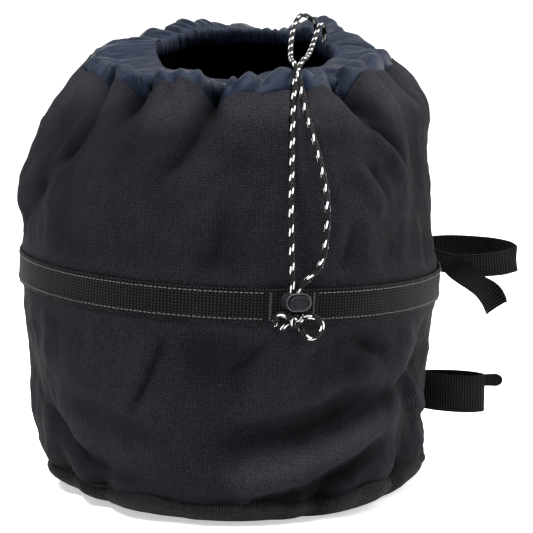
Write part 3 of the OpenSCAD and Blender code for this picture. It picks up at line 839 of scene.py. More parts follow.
def body_surface():
    """The body's points, and how much painted shade each of them gets: above 0 deep in its folds, below 0
    for a painted highlight on lit slopes and the shoulder.
    """
    columns, row_count = BODY_GRID
    around = even_turns(columns)[None, :]
    rows, along = ring_rows(BODY, row_count, 7)
    points = loft(rows, around[0])
    normals = grid_normals(points)
    heights = points[:, :, 2] / MM
    above_base = heights - BASE_SEAM_Z
    from_seam = (along[-1] - along)[:, None]
    from_band = np.abs(heights - (BAND_Z - math.tan(BAND_TILT) * points[:, :, 0] / MM))
    loose = step_up(from_band, 13, 34)

    # The gathered shoulder
    valleys = seam_valleys(around, from_seam)
    top = -PINCH * valleys * np.exp(-(from_seam / 36) ** 1.3)
    puff = PUFF * (1 - np.minimum(valleys, 1)) * bell(from_seam - 15, 18)
    puff = puff + SIDE_PUFF * bell(wrap(around - RIGHT_SIDE), 22) * bell(from_seam - 40, 28)

    # Slack cloth between the seams
    sag = SAG * spread_noise(points, 9, 3, 2, (1, 1, 0.55))
    folds = FOLDS * spread_noise(points, 22, 5, 3, (1, 1, 0.5))
    fine = FINE_FOLDS * spread_noise(points, 75, 8, 3)
    facets = FACETS * (0.4 - crumple(points, 21, 2, (1, 1, 0.65)))
    swells = sag + folds + facets
    slack, lit = slack_heights(around, heights)
    quiet = 1 - 0.6 * np.clip(np.abs(slack) / 4, 0, 1)
    creases = quiet * (CREASE_SCALE * crease_heights(around, heights)) + slack

    # Tucks over the lower seam
    low = np.zeros(heights.shape)
    rise = np.clip(above_base, 0, 60)
    for direction, depth, width in SAGS:
        low = with_valley(low, around, direction + 0.16 * rise, width * (0.7 + rise / 26), depth, 1.3)
    bulge = BULGE * bell(above_base - 15, 12)
    tuck = -TUCK * low * np.exp(-(above_base / 22) ** 1.5)
    seam_pull = -SEAM_PULL * np.exp(-above_base / 3.5)
    move = top + puff + loose * (quiet * swells + creases) + fine * (0.25 + 0.75 * loose)
    move = move + bulge + tuck + seam_pull

    # How far out the cloth may stand: least by the band and behind the lower patch
    limit = 0.6 + 7.4 * step_up(from_band, 14, 40)
    off_patch = step_up(np.abs(wrap(around - LOWER_PATCH)), 9, 16)
    off_patch = np.maximum(off_patch, step_up(np.abs(heights - LOWER_PATCH_Z), 24, 36))
    limit = np.minimum(limit, 0.2 + 8 * off_patch)
    move = np.where(move > 0, limit * np.tanh(move / np.maximum(limit, 0.05)), move)
    move = np.where(from_band < 15, np.clip(move, -1.2, 0.5), move)
    left = bell(wrap(around - LEFT_SIDE), 42) * bell(from_seam - 42, 45)
    points = moved_along(points, normals, move + LEFT_SWELL * left * loose)
    lift = seam_lift(around, valleys) * np.exp(-from_seam / 30)
    drop = -2.5 * low * np.exp(-above_base / 10)
    ride_up = hills(around, FOOT_RISES, 4.0) * np.exp(-above_base / 30)
    points[:, :, 2] += (lift + drop + ride_up) * MM

    # Painted shade in the hollows, and painted highlights on lit slopes and the shoulder
    deep = np.clip((valleys - 0.45) / 0.5, 0, 1)
    hollows = 0.9 * deep * bell(from_seam, 22) + 0.8 * low * bell(above_base, 11)
    hollows = hollows + loose * np.clip(-creases / 9, 0, 0.6)
    hollows = hollows + loose * np.clip(-swells / 12, 0, 0.55)
    # Painted highlight over the gathered shoulder, less in its pinched valleys
    shoulder = 0.75 * bell(from_seam - 12, 20)
    shoulder = shoulder + hills(around, SHOULDER_HIGHLIGHTS) * bell(from_seam - 26, 22)
    shoulder = shoulder * (1 - np.minimum(1.3 * valleys ** 2, 1))
    hollows = np.where(lit > 0.1, hollows * (1 - np.minimum(lit, 1)), hollows) - 0.8 * lit - shoulder
    return points + foot_shift(heights, BODY_R, around), hollows


body_points, body_hollows = body_surface()


def ring_at(ring, turns, inward, up):
    """A closed ring of points taken in new directions, and moved inward and up, in millimetres."""
    places = np.linspace(-180, 180, len(ring) + 1)
    ring = np.concatenate([ring, ring[:1]])
    moved = np.stack([np.interp(turns, places, ring[:, k]) for k in range(3)], axis=1)
    moved[:, :2] *= 1 - inward * MM / np.linalg.norm(moved[:, :2], axis=1, keepdims=True)
    moved[:, 2] += up * MM
    return moved


# ---- collar and hem ----
# Lumps of the collar's top: direction, width in degrees, height
LUMPS = [
    (-100, 16, 3.5), (-129, 8, -8), (-150, 18, 2), (178, 16, -6), (160, 12, -7), (134, 11, 10),
    (104, 15, -7), (62, 14, 1), (0, 40, -1.5),
]
# Lobes of the front lip, where the collar rolls over the hem: direction, width in degrees, height
LIP = [(-52, 8, -1.5), (-31, 8, 3), (-8, 10, -3.5), (18, 9, 4), (41, 7, 1.5), (57, 6, -1.5)]
# Folds of the collar between the seam and the hem: direction, depth, width, lean
COLLAR_FOLDS = [
    (-78, 0.5, 3.5, 6), (-62, 0.6, 3.0, -8), (-44, 0.5, 3.0, 5), (-25, 0.5, 2.6, -6),
    (-14, 0.4, 2.6, 5), (5, 0.8, 2.6, 9), (14, 0.45, 3.0, 8), (24, 0.35, 3.2, -4),
    (33, 0.5, 2.4, 6), (50, 0.7, 3.0, -8), (62, 0.5, 3.2, 4), (86, 0.6, 3.6, 7),
    (95, 0.5, 3.0, -5), (115, 0.6, 3.0, 8), (124, 0.5, 3.0, -4), (144, 0.6, 3.4, 6),
    (170, 0.6, 3.0, -5), (-160, 0.6, 3.2, 6), (-130, 0.6, 3.0, 6), (-104, 0.5, 3.4, -5),
]
# Deep pleats that run up the collar from the pinched valleys
COLLAR_SLOTS = [
    (-30, 1.9, 2.3, 9), (0, 1.9, 2.2, 10), (38, 1.6, 1.8, -8), (-51, 1.3, 1.6, 7),
    (75, 1.0, 1.4, 6), (107, 1.1, 1.4, 7), (135, 1.3, 1.6, 8), (162, 1.1, 1.5, -7),
    (-176, 1.3, 1.6, -8), (-143, 1.2, 1.5, 7), (-115, 1.2, 1.5, 7), (-83, 1.1, 1.4, -6),
]
# Sharp folds on both sides of each pinched valley
VALLEY_FOLDS = [
    (direction + side * 3.8, 0.6 * depth, 1.7, side * 5)
    for direction, depth, _, _ in NOTCHES
    for side in (-1, 1)
]


# Pleats of the hem: how many, and the seed of their unevenness
MAIN_PLEATS = (64, 11)
MINOR_PLEATS = (118, 23)


def frill(turns):
    """How puckered the hem looks: hardly at all at the front, where the collar rolls over it."""
    return 0.1 + 0.9 * step_up(np.abs(wrap(turns)), 62, 98)


def hem_pleats(turns, count, seed):
    """The hem's pleats: round crests and sharp valleys of uneven width, -1 to 1."""
    a = np.radians(turns)
    rng = np.random.RandomState(seed)
    phase = count * a / 2
    for k in (3, 5, 8, 13, 19, 29):
        phase = phase + rng.uniform(0.25, 0.6) / math.sqrt(k / 3) * np.sin(k * a + rng.uniform(0, 6.28))
    size = 0.75 + 0.25 * np.sin(7 * a + 1.1) * np.sin(11 * a + 0.4)
    return frill(turns) * size * (2 * np.abs(np.sin(phase)) ** 0.75 - 1)


def at_hem(x, y, z):
    """A place in the hem ring's own tilted frame, as metres in the bag's frame."""
    c, s = math.cos(HEM_TILT), math.sin(HEM_TILT)
    return np.stack([x + MOUTH_X, y * c - z * s, HEM_Z + y * s + z * c], axis=-1) * MM


def hem_top(turns):
    """Height of the gathered hem's top edge above the ring's middle."""
    return np.maximum(HEM_HALF_H + 0.75 * hills(turns, LUMPS) - HEM_DROP, 3.1)


def collar_surface():
    """The collar's points, and how much painted shade each of them gets, from how deep in a fold it lies.
    """
    columns, row_count = COLLAR_GRID
    turns = even_turns(columns)
    around = turns[None, :]
    to_front = np.abs(wrap(around))
    rows, along = ring_rows(COLLAR, row_count, 2.2)
    points = loft(rows, turns)
    normals = grid_normals(points)
    t = (along / along[-1])[:, None]
    from_seam = along[:, None]

    valleys = seam_valleys(around, np.zeros_like(from_seam))
    folds = np.zeros(points.shape[:2])
    for direction, depth, width, lean in COLLAR_FOLDS + COLLAR_SLOTS + VALLEY_FOLDS:
        centre = direction + lean * (t - 0.5)
        folds = with_valley(folds, around, centre, width * (1.1 - 0.4 * t), depth, 1.3)
    middle = np.sin(math.pi * np.clip(t * 1.05, 0, 1)) ** 0.7
    pucker = hem_pleats(turns, *MAIN_PLEATS)
    deep = -COLLAR_PINCH * valleys * np.exp(-from_seam / 14)
    lobes = COLLAR_LOBES * (1 - np.minimum(valleys, 1)) * middle * (1 - 0.6 * t)
    facets = COLLAR_FACETS * (0.42 - crumple(points, 34, 4)) * np.minimum(1, 5 * t) * (1 - 0.35 * t)
    soft = COLLAR_SOFT * spread_noise(points, 34, 6, 3) * middle
    pleats = COLLAR_PLEATS * pucker[None, :] * step_up(t, 0.62, 1.0)
    creases = -COLLAR_FOLD * folds * middle
    points = moved_along(points, normals, deep + lobes + creases + facets + soft + pleats)

    lift = seam_lift(around, valleys) * np.exp(-from_seam / 9)
    raised = hills(around, LUMPS) * step_up(t, 0.0, 0.8)
    stand = 7 * (1 - step_up(to_front, 50, 100)) * np.sin(math.pi * np.clip(t / 0.72, 0, 1)) ** 0.8
    front = 1 - step_up(to_front, 50, 130)
    settle = (-8 * front - 5 * bell(wrap(around + 105), 42)) * step_up(t, 0.12, 0.9)
    points[:, :, 2] += (lift + raised + settle + stand) * MM

    # The top edge turns in over the hem
    smooth = 1 - frill(turns)
    lip = smooth * hills(turns, LIP)
    roll = bell(wrap(turns + 92), 26)
    top = hem_top(turns) - 1.2 + 0.8 * pucker + 2.6 * smooth + lip + 4.5 * roll
    reach = HEM_R + 2.2 + 0.9 * pucker - 4.6 * smooth - 0.8 * lip - 9 * roll
    side, depth = compass(turns)
    tuck_in = at_hem(reach * side, reach * depth, top)[None]
    turned_in = step_up(t, 0.68, 1.0)[:, :, None]
    points = points * (1 - turned_in) + tuck_in * turned_in

    # The foot follows the body's edge
    foot = ring_at(body_points[-1], turns, 0.9, -1.6)
    points = points + (foot - points[0])[None] * bell(from_seam, 6)[:, :, None]
    # Painted shade in the folds' hollows and the pinched valleys
    hollows = folds * middle * (1 - turned_in[:, :, 0])
    return points, np.clip(1.5 * hollows - 0.55, 0, 1) + 0.8 * valleys * np.exp(-from_seam / 5)


collar_points, collar_hollows = collar_surface()

CLOTH_SETTINGS = {
    "quality": 6, "mass": 0.2, "air_damping": 4, "tension_stiffness": 30,
    "compression_stiffness": 30, "shear_stiffness": 12, "bending_stiffness": 1.5,
    "use_pressure": True, "uniform_pressure_force": 1.5,
}


def settle_cloth(start, rest, pinned, frames):
    """Runs Blender's cloth on a grid that is closed along its rows, and gives where it settles.

    start is where the grid begins and rest is the cut cloth, so that spare length buckles."""
    rows, columns = start.shape[:2]
    r, c = np.indices((rows - 1, columns)).reshape(2, -1)
    n = (c + 1) % columns
    low, high = r * columns, (r + 1) * columns
    faces = np.stack([low + c, low + n, high + n, high + c], axis=1)
    mesh = bpy.data.meshes.new("cloth_run")
    mesh.from_pydata([tuple(p) for p in start.reshape(-1, 3)], [], faces.tolist())
    piece = show("cloth_run", mesh)
    piece.shape_key_add(name="Basis")
    cut = piece.shape_key_add(name="cut")
    cut.data.foreach_set("co", rest.reshape(-1))
    group = piece.vertex_groups.new(name="pinned")
    group.add([int(i) for i in np.where(pinned.ravel())[0]], 1.0, "ADD")
    cloth = piece.modifiers.new("cloth", "CLOTH")
    cloth.settings.rest_shape_key = cut
    cloth.settings.vertex_group_mass = "pinned"
    for key, value in CLOTH_SETTINGS.items():
        setattr(cloth.settings, key, value)
    cloth.settings.effector_weights.gravity = 0
    cloth.collision_settings.use_collision = False
    cloth.point_cache.frame_start = 1
    cloth.point_cache.frame_end = frames
    for frame_number in range(1, frames + 1):
        bpy.context.scene.frame_set(frame_number)
    shown = piece.evaluated_get(bpy.context.evaluated_depsgraph_get()).to_mesh()
    settled = np.zeros(len(shown.vertices) * 3, np.float32)
    shown.vertices.foreach_get("co", settled)
    bpy.context.scene.frame_set(1)
    bpy.data.objects.remove(piece)
    return settled.reshape(start.shape).astype(float)


def between_rows(values, places):
    """The rows of a grid read at places between them."""
    low = np.minimum(places.astype(int), len(values) - 2)
    part = (places - low)[:, None, None]
    return values[low] * (1 - part) + values[low + 1] * part


def refine(values, rows, columns):
    """A coarse grid of moves, closed along its rows, spread smoothly over a finer one."""
    lines = np.concatenate([values, values[:, :1]], axis=1).transpose(1, 0, 2)
    places = np.linspace(0, values.shape[1], columns, endpoint=False)
    wide = between_rows(lines, places).transpose(1, 0, 2)
    fine = between_rows(wide, np.linspace(0, len(values) - 1, rows))
    for _ in range(2):
        fine = 0.5 * fine + 0.25 * (np.roll(fine, 1, axis=1) + np.roll(fine, -1, axis=1))
    return fine


FOLD_LIMIT = 9 * MM
FIRST_LOOSE_ROW = 99
CLOTH_FRAMES = 16
SPARE_CLOTH = 1.3


def gather_top(body_grid, collar_grid):
    """Lets the spare cloth above the band buckle into gathers, and moves both grids with it."""
    lower = body_grid[FIRST_LOOSE_ROW::2, ::2]
    start = np.concatenate([lower, collar_grid[4::4, ::4]])
    around = np.linalg.norm(np.roll(start, -1, axis=1) - start, axis=2).sum(axis=1)
    down = np.linalg.norm(np.diff(start, axis=0), axis=2).mean(axis=1)
    height = np.concatenate([[0], np.cumsum(down)])[:, None]
    wanted = np.minimum(2 * math.pi * BODY_R * MM, around * SPARE_CLOTH)
    radius = (wanted / (2 * math.pi))[:, None]
    side, depth = compass(even_turns(start.shape[1])[None, :])
    rest = np.stack([radius * side, radius * depth, height + 0 * side], axis=2)
    pinned = np.zeros(start.shape[:2], bool)
    pinned[:3] = True
    pinned[-1:] = True
    moved = settle_cloth(start, rest, pinned, CLOTH_FRAMES) - start
    outward = np.stack([side, depth, 0 * side], axis=2)
    swell = (moved * outward).sum(axis=2, keepdims=True).mean(axis=1, keepdims=True)
    moved -= swell * outward
    moved[:, :, 2] -= moved[:, :, 2].mean(axis=1, keepdims=True)
    size = np.linalg.norm(moved, axis=2, keepdims=True)
    moved *= FOLD_LIMIT * np.tanh(size / FOLD_LIMIT) / np.maximum(size, 1e-9)
    seam = len(lower)
    body_grid[FIRST_LOOSE_ROW:] += refine(
        moved[:seam], len(body_grid) - FIRST_LOOSE_ROW, body_grid.shape[1]
    )
    collar_grid += refine(moved[seam - 1:], len(collar_grid), collar_grid.shape[1])


gather_top(body_points, collar_points)

body_points = clear_of_cords(body_points, 0.7)
body = grid_object("body_cloth", body_points, ["body_cloth", "inner_coating"], "bag", "side_panel")
thicken(body, BODY_CLOTH_T, inner_slot=1)
mark_hollows(body, body_hollows)

collar = grid_object(
    "collar_cloth", clear_of_cords(collar_points, 0.6), ["collar_cloth"], "bag", "collar_skirt",
    flat=(1.056, 0.05),
)
thicken(collar, COLLAR_CLOTH_T)
mark_hollows(collar, collar_hollows)


def hem_surface():
    """The gathered hem: a puckered channel of thin cloth round the drawcord."""
    columns, row_count = HEM_GRID
    turns = even_turns(columns)
    corners = np.radians(np.linspace(0, 360, row_count, endpoint=False))[:, None]
    around = np.radians(turns)[None, :]
    pleats = hem_pleats(turns, *MAIN_PLEATS)[None, :]
    minor = hem_pleats(turns, *MINOR_PLEATS)[None, :]
    out, up = np.cos(corners), np.sin(corners)
    half_w = 3.3 + 0.9 * pleats + 0.35 * minor
    half_h = HEM_HALF_H + 1.3 * pleats * np.abs(up) + 0.5 * minor
    sway = 0.8 * np.sin(5 * around + 0.4) + 0.5 * np.sin(11 * around + 2)
    radius = HEM_R + np.sign(out) * np.abs(out) ** 0.8 * half_w + 0.4 * sway
    height = np.sign(up) * np.abs(up) ** 0.85 * half_h + (hem_top(turns) - HEM_HALF_H)[None, :]
    return at_hem(radius * np.sin(around), -radius * np.cos(around), height)


hem = grid_object(
    "hem_channel_cloth", hem_surface(), ["collar_cloth"], "bag", "hem_channel",
    closed_columns=True, flat=(1.056, 0.04),
)


# ---- base ----
def base_surface():
    """The base from a small hole in its middle out to the body's edge, bulging at its rim."""
    around = even_turns(BASE_COLUMNS)[None, :]
    side, depth = compass(around)
    edge_r = BASE_SEAM_R - 0.6
    edge_z = BASE_SEAM_Z + 1.5
    f = np.linspace(0, 1, 18) ** 0.8
    flat_r = np.linspace(2, BASE_FLAT_R, 24)[:-1]
    radius = np.concatenate([flat_r, BASE_FLAT_R + (edge_r - BASE_FLAT_R) * f])[:, None]
    rim_z = edge_z * (1 - np.sqrt(np.maximum(1 - f ** 2, 0)))
    height = np.concatenate([np.zeros(len(flat_r)), rim_z])[:, None]
    points = np.stack([radius * side, radius * depth, height + 0 * side], axis=2) * MM
    rim = step_up(radius, BASE_FLAT_R - 6, BASE_FLAT_R + 8)
    folds = np.zeros(points.shape[:2])
    for direction, deep, width in SAGS:
        folds = with_valley(folds, around, direction - 3, width * 0.7, deep, 1.2)
    swell = BASE_SWELL * np.sin(math.pi * np.clip(height / edge_z, 0, 1))
    rough = BASE_NOISE * spread_noise(points, 55, 12, 3) + BASE_FACETS * (0.4 - crumple(points, 45, 9))
    outward = np.stack([side, depth, 0 * side], axis=2)
    points = moved_along(points, outward, rim * (swell - BASE_FOLD * folds + rough))
    points = points + foot_shift(height, radius, around)
    edge = ring_at(body_points[0], around[0], 2.1, 2.6)
    follow = np.concatenate([np.zeros(len(flat_r)), f ** 1.6])[:, None, None]
    return points + (edge - points[-1])[None] * follow


base_points = base_surface()
hole = list(range(base_points.shape[1]))[::-1]
base = grid_object(
    "base_cloth", base_points, ["base_cloth", "inner_coating"], "bag", "base_panel",
    caps=[(hole, [(0, 0)] * len(hole))],
)
thicken(base, BODY_CLOTH_T, inner_slot=1)


# ---- ribbons and stitches ----
def rounded_section(width, thickness, across=10):
    """Outline of a strip's section: pairs (across, out), with rounded edges."""
    half_w, half_t = width / 2, thickness / 2
    flat_line = np.linspace(-half_w + half_t, half_w - half_t, across)
    bend = np.radians([60, 30, 0, -30, -60])
    right = [(half_w - half_t + half_t * math.cos(b), half_t * math.sin(b)) for b in bend]
    left = [(-x, -y) for x, y in right]
    top = [(x, half_t) for x in flat_line]
    bottom = [(x, -half_t) for x in flat_line[::-1]]
    return np.array(top + right + bottom + left)


def ribbon_object(name, line, ups, width, slot, body, node, closed=False, wave=None, widths=1, curl=None):
    """A strip of webbing along a line, its width in millimetres: ups gives the direction of its
    width at each point, widths scales it, wave moves its section out and curl is the angle in
    radians through which its section bends over from edge to edge."""
    line = np.asarray(line, float)
    if closed:
        tangents = unit(np.roll(line, -1, axis=0) - np.roll(line, 1, axis=0))
    else:
        tangents = unit(np.gradient(line, axis=0))
    ups = np.asarray(ups, float)
    ups = unit(ups - tangents * (ups * tangents).sum(axis=1, keepdims=True))
    outs = np.cross(tangents, ups)
    section = rounded_section(width * MM, WEBBING_T * MM)
    scale = (np.ones(len(line)) * widths)[None, :, None]
    across = section[:, 0][:, None, None] * scale
    out = section[:, 1][:, None, None] + 0 * scale
    if wave is not None:
        out = out + wave(section[:, 0] / (width * MM))[:, :, None]
    if curl is not None:
        radius = width * MM * scale / np.maximum(curl, 0.01)[None, :, None]
        angle = across / radius
        across, out = (radius - out) * np.sin(angle), radius - (radius - out) * np.cos(angle)
    points = line[None] + across * ups[None] + out * outs[None]
    sections, count = points.shape[:2]
    along = along_line(np.concatenate([line, line[:1]]))
    place = section[:, 0] + width * MM / 2
    caps = []
    if not closed:
        start = [i * count for i in range(sections)]
        end = [i + count - 1 for i in start[::-1]]
        caps = [
            (start, [(along[0], p) for p in place]),
            (end, [(along[count - 1], p) for p in place[::-1]]),
        ]
    down = np.append(place, place[0])
    return grid_mesh(name, points, along, down, closed, True, caps, [slot], body, node)


# How a stitch is rounded: (how far along it, how thick there)
STITCH_PROFILE = [(0.0, 0.35), (0.08, 0.75), (0.3, 1.0), (0.7, 1.0), (0.92, 0.75), (1.0, 0.35)]
STITCH_SIDES = 6


def stitches(name, stretches, radius, slot, body, node):
    """Many short stitches as one mesh, each from one point to another and pressed in at its
    ends. stretches holds their starts, their ends and the way out of the cloth."""
    turns = np.arange(STITCH_SIDES) * 2 * math.pi / STITCH_SIDES
    vertices = []
    for start, end, out in stretches:
        side = np.cross(unit(end - start), out)
        for f, r in STITCH_PROFILE:
            centre = start + (end - start) * f - out * (1 - r) * 0.9 * radius * MM
            for a in turns:
                vertices.append(centre + radius * MM * r * (math.cos(a) * side + math.sin(a) * out))
    ring_starts = [i * STITCH_SIDES for i in range(len(STITCH_PROFILE))]
    sides = range(STITCH_SIDES)
    one = [
        [low + (k + 1) % STITCH_SIDES, low + k, high + k, high + (k + 1) % STITCH_SIDES]
        for low, high in zip(ring_starts, ring_starts[1:])
        for k in sides
    ]
    one_uvs = [(0, 0), (0, 0.001), (0.001, 0.001), (0.001, 0)] * len(one) + [(0, 0)] * (2 * STITCH_SIDES)
    one += [list(sides), [ring_starts[-1] + k for k in reversed(sides)]]
    step = STITCH_SIDES * len(STITCH_PROFILE)
    faces = [[first + k for k in face] for first in range(0, len(vertices), step) for face in one]
    return make_object(name, vertices, faces, one_uvs * len(stretches), [slot], body, node)


# ---- webbing band ----
OVERLAP_FROM, OVERLAP_TO = 10.0, 22.5
STITCH_PITCH = 3.7
STITCH_SHARE = 0.78
STITCH_INSET = 3.0
BARTACK_STEP = 0.75


def band_line(radius, turns):
    """Points and upright directions along the tilted band."""
    side, depth = compass(turns)
    c, s = math.cos(BAND_TILT), math.sin(BAND_TILT)
    x = radius * side
    points = np.stack([x * c, radius * depth, BAND_Z - x * s], axis=1) * MM
    return points, np.tile([s, 0, c], (len(turns), 1))


def band_piece(name, node, radius, turns, closed):
    line, ups = band_line(radius + WEBBING_T / 2, turns)
    a = np.radians(turns)
    pucker = 0.16 * np.sin(61 * a + 1) + 0.12 * np.sin(37 * a) + 0.1 * np.sin(97 * a + 2)

    def wave(place):
        return MM * np.abs(2 * place)[:, None] ** 2 * pucker[None, :]

    ribbon_object(name, line, ups, BAND_W, "band_webbing", "bag", node, closed, wave)


def band_stitch(radius, turn, half, start_z, end_z):
    """One stitch on the band, half that many degrees to each side, at its heights from the
    band's middle."""
    line, ups = band_line(radius, np.array([turn - half, turn + half]))
    out = np.array([*compass(turn), 0])
    return line[0] + ups[0] * start_z * MM, line[1] + ups[1] * end_z * MM, out


def stitch_row(name, z, node):
    radius = BAND_R + WEBBING_T + 0.25
    count = int(2 * math.pi * radius / STITCH_PITCH)
    rng = np.random.RandomState(int(50 + z))
    stretches = []
    for i in range(count):
        turn = 360 * i / count
        if not OVERLAP_FROM - 1 < wrap(turn) < OVERLAP_TO + 1:
            shake = rng.uniform(-0.16, 0.16, 2)
            half = STITCH_SHARE / 2 * 360 / count
            stretches.append(band_stitch(radius, turn, half, z + shake[0], z + shake[1]))
    stitches(name, stretches, 0.36, "grey_thread", "bag", node)


def bartacks():
    """Dense zigzags that sew the lapped end down."""
    radius = BAND_R + 2 * WEBBING_T + 0.45
    heights = np.arange(-BAND_W / 2 + 2.5, BAND_W / 2 - 2.5, BARTACK_STEP)
    stretches = [
        band_stitch(radius, turn, 0.3 if i % 2 else -0.3, z, z + BARTACK_STEP)
        for turn in (OVERLAP_FROM + 0.85, OVERLAP_TO - 0.85)
        for i, z in enumerate(heights)
    ]
    stitches("band_bartacks", stretches, 0.3, "dark_thread", "bag", "band_overlap_bartacks")


band_piece("band_webbing", "webbing_band", BAND_R, even_turns(900), True)
lapped = np.linspace(OVERLAP_FROM, OVERLAP_TO, 40)
band_piece("band_lapped_end", "band_overlap", BAND_R + WEBBING_T + 0.2, lapped, False)
stitch_row("band_stitches_upper", BAND_W / 2 - STITCH_INSET, "band_upper_stitching")
stitch_row("band_stitches_lower", STITCH_INSET - BAND_W / 2, "band_lower_stitching")
bartacks()


# ---- inside bindings, buttonholes and patches ----
def base_binding():
    turns = even_turns(360)
    line = ring_at(body_points[3], turns, 4.2, 0.6)
    ups = np.tile([0, 0, 1.0], (len(turns), 1))
    ribbon_object("base_binding_tape", line, ups, 12, "binding_tape", "bag", "base_seam_binding", True)


def side_binding():
    """Tape over the raw edges of the vertical seam, inside the body."""
    column = int(round((SEAM_TURN + 180) / 360 * body_points.shape[1]))
    left, line, right = [body_points[12:-8, column + k] for k in (-6, 0, 6)]
    line = line + unit(-line * np.array([1, 1, 0])) * 3.4 * MM
    ribbon_object(
        "side_binding_tape", line, right - left, 20, "binding_tape", "bag", "side_seam_binding"
    )


BUTTONHOLE_Z = 7.75
BUTTONHOLE_INNER_R, BUTTONHOLE_OUTER_R = 2.55, 3.9
BUTTONHOLE_STITCHES = 30


def buttonholes():
    """Two eyelets worked in thread, where the cord leaves the hem."""
    out = np.array([0, -math.sin(HEM_TILT), math.cos(HEM_TILT)])
    stretches = []
    for a in np.radians((28, 37)):
        radial = np.array([math.cos(a), math.sin(a), 0])
        along = np.array([-math.sin(a), math.cos(a), 0])
        for b in np.arange(BUTTONHOLE_STITCHES) * 2 * math.pi / BUTTONHOLE_STITCHES:
            spoke = math.cos(b) * radial + math.sin(b) * along
            inner = HEM_R * radial + BUTTONHOLE_INNER_R * spoke
            outer = HEM_R * radial + BUTTONHOLE_OUTER_R * spoke
            start = at_hem(inner[0], inner[1], BUTTONHOLE_Z + 0.15)
            stretches.append((start, at_hem(outer[0], outer[1], BUTTONHOLE_Z), out))
    stitches("exit_buttonholes", stretches, 0.38, "dark_thread", "bag", "cord_exit_buttonholes")


def patch(name, node):
    """A sewn patch behind a loop's root: a softly rounded plate in the place of its node."""
    mesh = NODES[node].data.copy()
    mesh.materials.clear()
    mesh.materials.append(MATERIALS["strap_webbing"])
    piece = show(name, mesh)
    layer = mesh.uv_layers.get("cloth") or mesh.uv_layers.new(name="cloth")
    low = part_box(node)[0]
    for loop in mesh.loops:
        co = mesh.vertices[loop.vertex_index].co
        layer.data[loop.index].uv = ((co.y - low.y) * 1.1, co.z - low.z)
    soften_edges(piece, 0.5)
    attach(piece, "bag")
    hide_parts(node)


base_binding()
side_binding()
buttonholes()
patch("upper_patch", "upper_strap_patch")
patch("lower_patch", "lower_strap_patch")


# ---- webbing loops ----
# For each loop: its direction at rest, how far it is rolled over, and its width
STRAPS = {"upper": (-25, 8, 22), "lower": (-16, 0, 32)}
UPPER_ROUTE = [
    (-1, 0.8, 0), (6, 2.2, 0), (14, 8, 0.5), (28, 14.5, 0.5), (46, 17.5, 0), (66, 16, 0),
    (82, 10, 0), (90, 3.5, -0.5), (92, 0, -1.5), (89, -3, -2.5), (81, -8, -4), (66, -14, -5),
    (48, -17, -5), (30, -15, -3.5), (15, -8.6, -1), (6, -2.2, 0), (-1, -0.8, 0),
]
UPPER_UPS = [(0, 0, 1), (0, 0.12, 1), (0.04, 0, 1), (0, -0.42, 0.9), (0, 0, 1)]
LOWER_ROUTE = [
    (-1, 0.8, 0), (6, 2.2, 0), (14, 6.4, 0), (26, 9.8, 0), (40, 10.8, 0), (52, 8.4, 0),
    (59.5, 4, 0), (61.4, 0, 0), (59.5, -4, 0), (52, -8.4, 0), (40, -10.8, 0), (26, -9.8, 0),
    (14, -6.4, 0), (6, -2.2, 0), (-1, -0.8, 0),
]
TAIL_ROUTE = [
    (44, -18.8, -5), (50, -20, -10.5), (57, -21.2, -16), (65, -22.2, -21), (73, -22.8, -26),
    (80, -22.6, -32), (85, -21.8, -39),
]
TONGUE_ROUTE = [(61.6, 0.4, 11), (66, 0.9, 11.3), (71, 1.0, 11.6), (77, 0.7, 12)]


def placed(matrix, points):
    return np.array([matrix @ Vector(p) for p in np.asarray(points, float) * MM])


def turned(matrix, directions):
    part = matrix.to_3x3()
    return np.array([part @ Vector(d) for d in np.asarray(directions, float)])


def strap_matrix(strap, rolled):
    """A loop's own frame: X along the loop, Z up its hinge, origin on the hinge line."""
    turn, roll, _ = STRAPS[strap]
    at = Matrix.Translation(Vector(JOINTS[strap + "_strap_swing"]["pos_m"]))
    roll_x = Matrix.Rotation(math.radians(roll if rolled else 0), 4, "X")
    return at @ Matrix.Rotation(math.radians(turn), 4, "Z") @ roll_x


def strap_ribbon(strap, part, line, lean, width, rolled=False, **shape):
    matrix = strap_matrix(strap, rolled)
    ribbon_object(
        strap + "_" + part + "_webbing", placed(matrix, line), turned(matrix, lean), width,
        "strap_webbing", strap + "_strap", strap + "_strap_" + part, **shape,
    )


def strap_loop(strap, route, ups):
    """A ribbon along a closed route seen from above, in the loop's own frame."""
    line = smooth_line(route, 0.0012) / MM
    f = np.linspace(0, 1, len(line))
    keys = np.linspace(0, 1, len(ups))
    lean = np.stack([np.interp(f, keys, np.array(ups)[:, k]) for k in range(3)], axis=1)
    strap_ribbon(strap, "loop", line, lean, STRAPS[strap][2], rolled=True)


def upper_tail():
    """The loose end below the upper loop: it peels off, twists, and curls over at its tip."""
    line = smooth_line(TAIL_ROUTE, 0.001) / MM
    f = np.linspace(0, 1, len(line))
    twist = np.sin(math.pi * f)
    lean = np.stack([0.95 - 0.3 * f, 0.55 * twist, 0.25 + 0.55 * f], axis=1)
    widths = 1.05 - 0.22 * twist ** 2 + 0.25 * step_up(f, 0.55, 1.0)
    curl = 0.2 + 2.6 * step_up(f, 0.45, 1.0)
    strap_ribbon("upper", "tail", line, lean, STRAPS["upper"][2], widths=widths, curl=curl)


def lower_tongue():
    """The rounded end that stands out past the lower loop."""
    line = smooth_line(TONGUE_ROUTE, 0.0007) / MM
    f = np.linspace(0, 1, len(line))
    widths = np.sqrt(np.clip(1 - np.clip((f - 0.55) / 0.46, 0, 1) ** 2, 0.02, 1)) * (0.9 + 0.1 * f)
    lean = np.tile([0, 0, 1], (len(line), 1))
    strap_ribbon("lower", "tongue", line, lean, 11.5, widths=widths)


ROOT_STITCH_STEP = 0.8


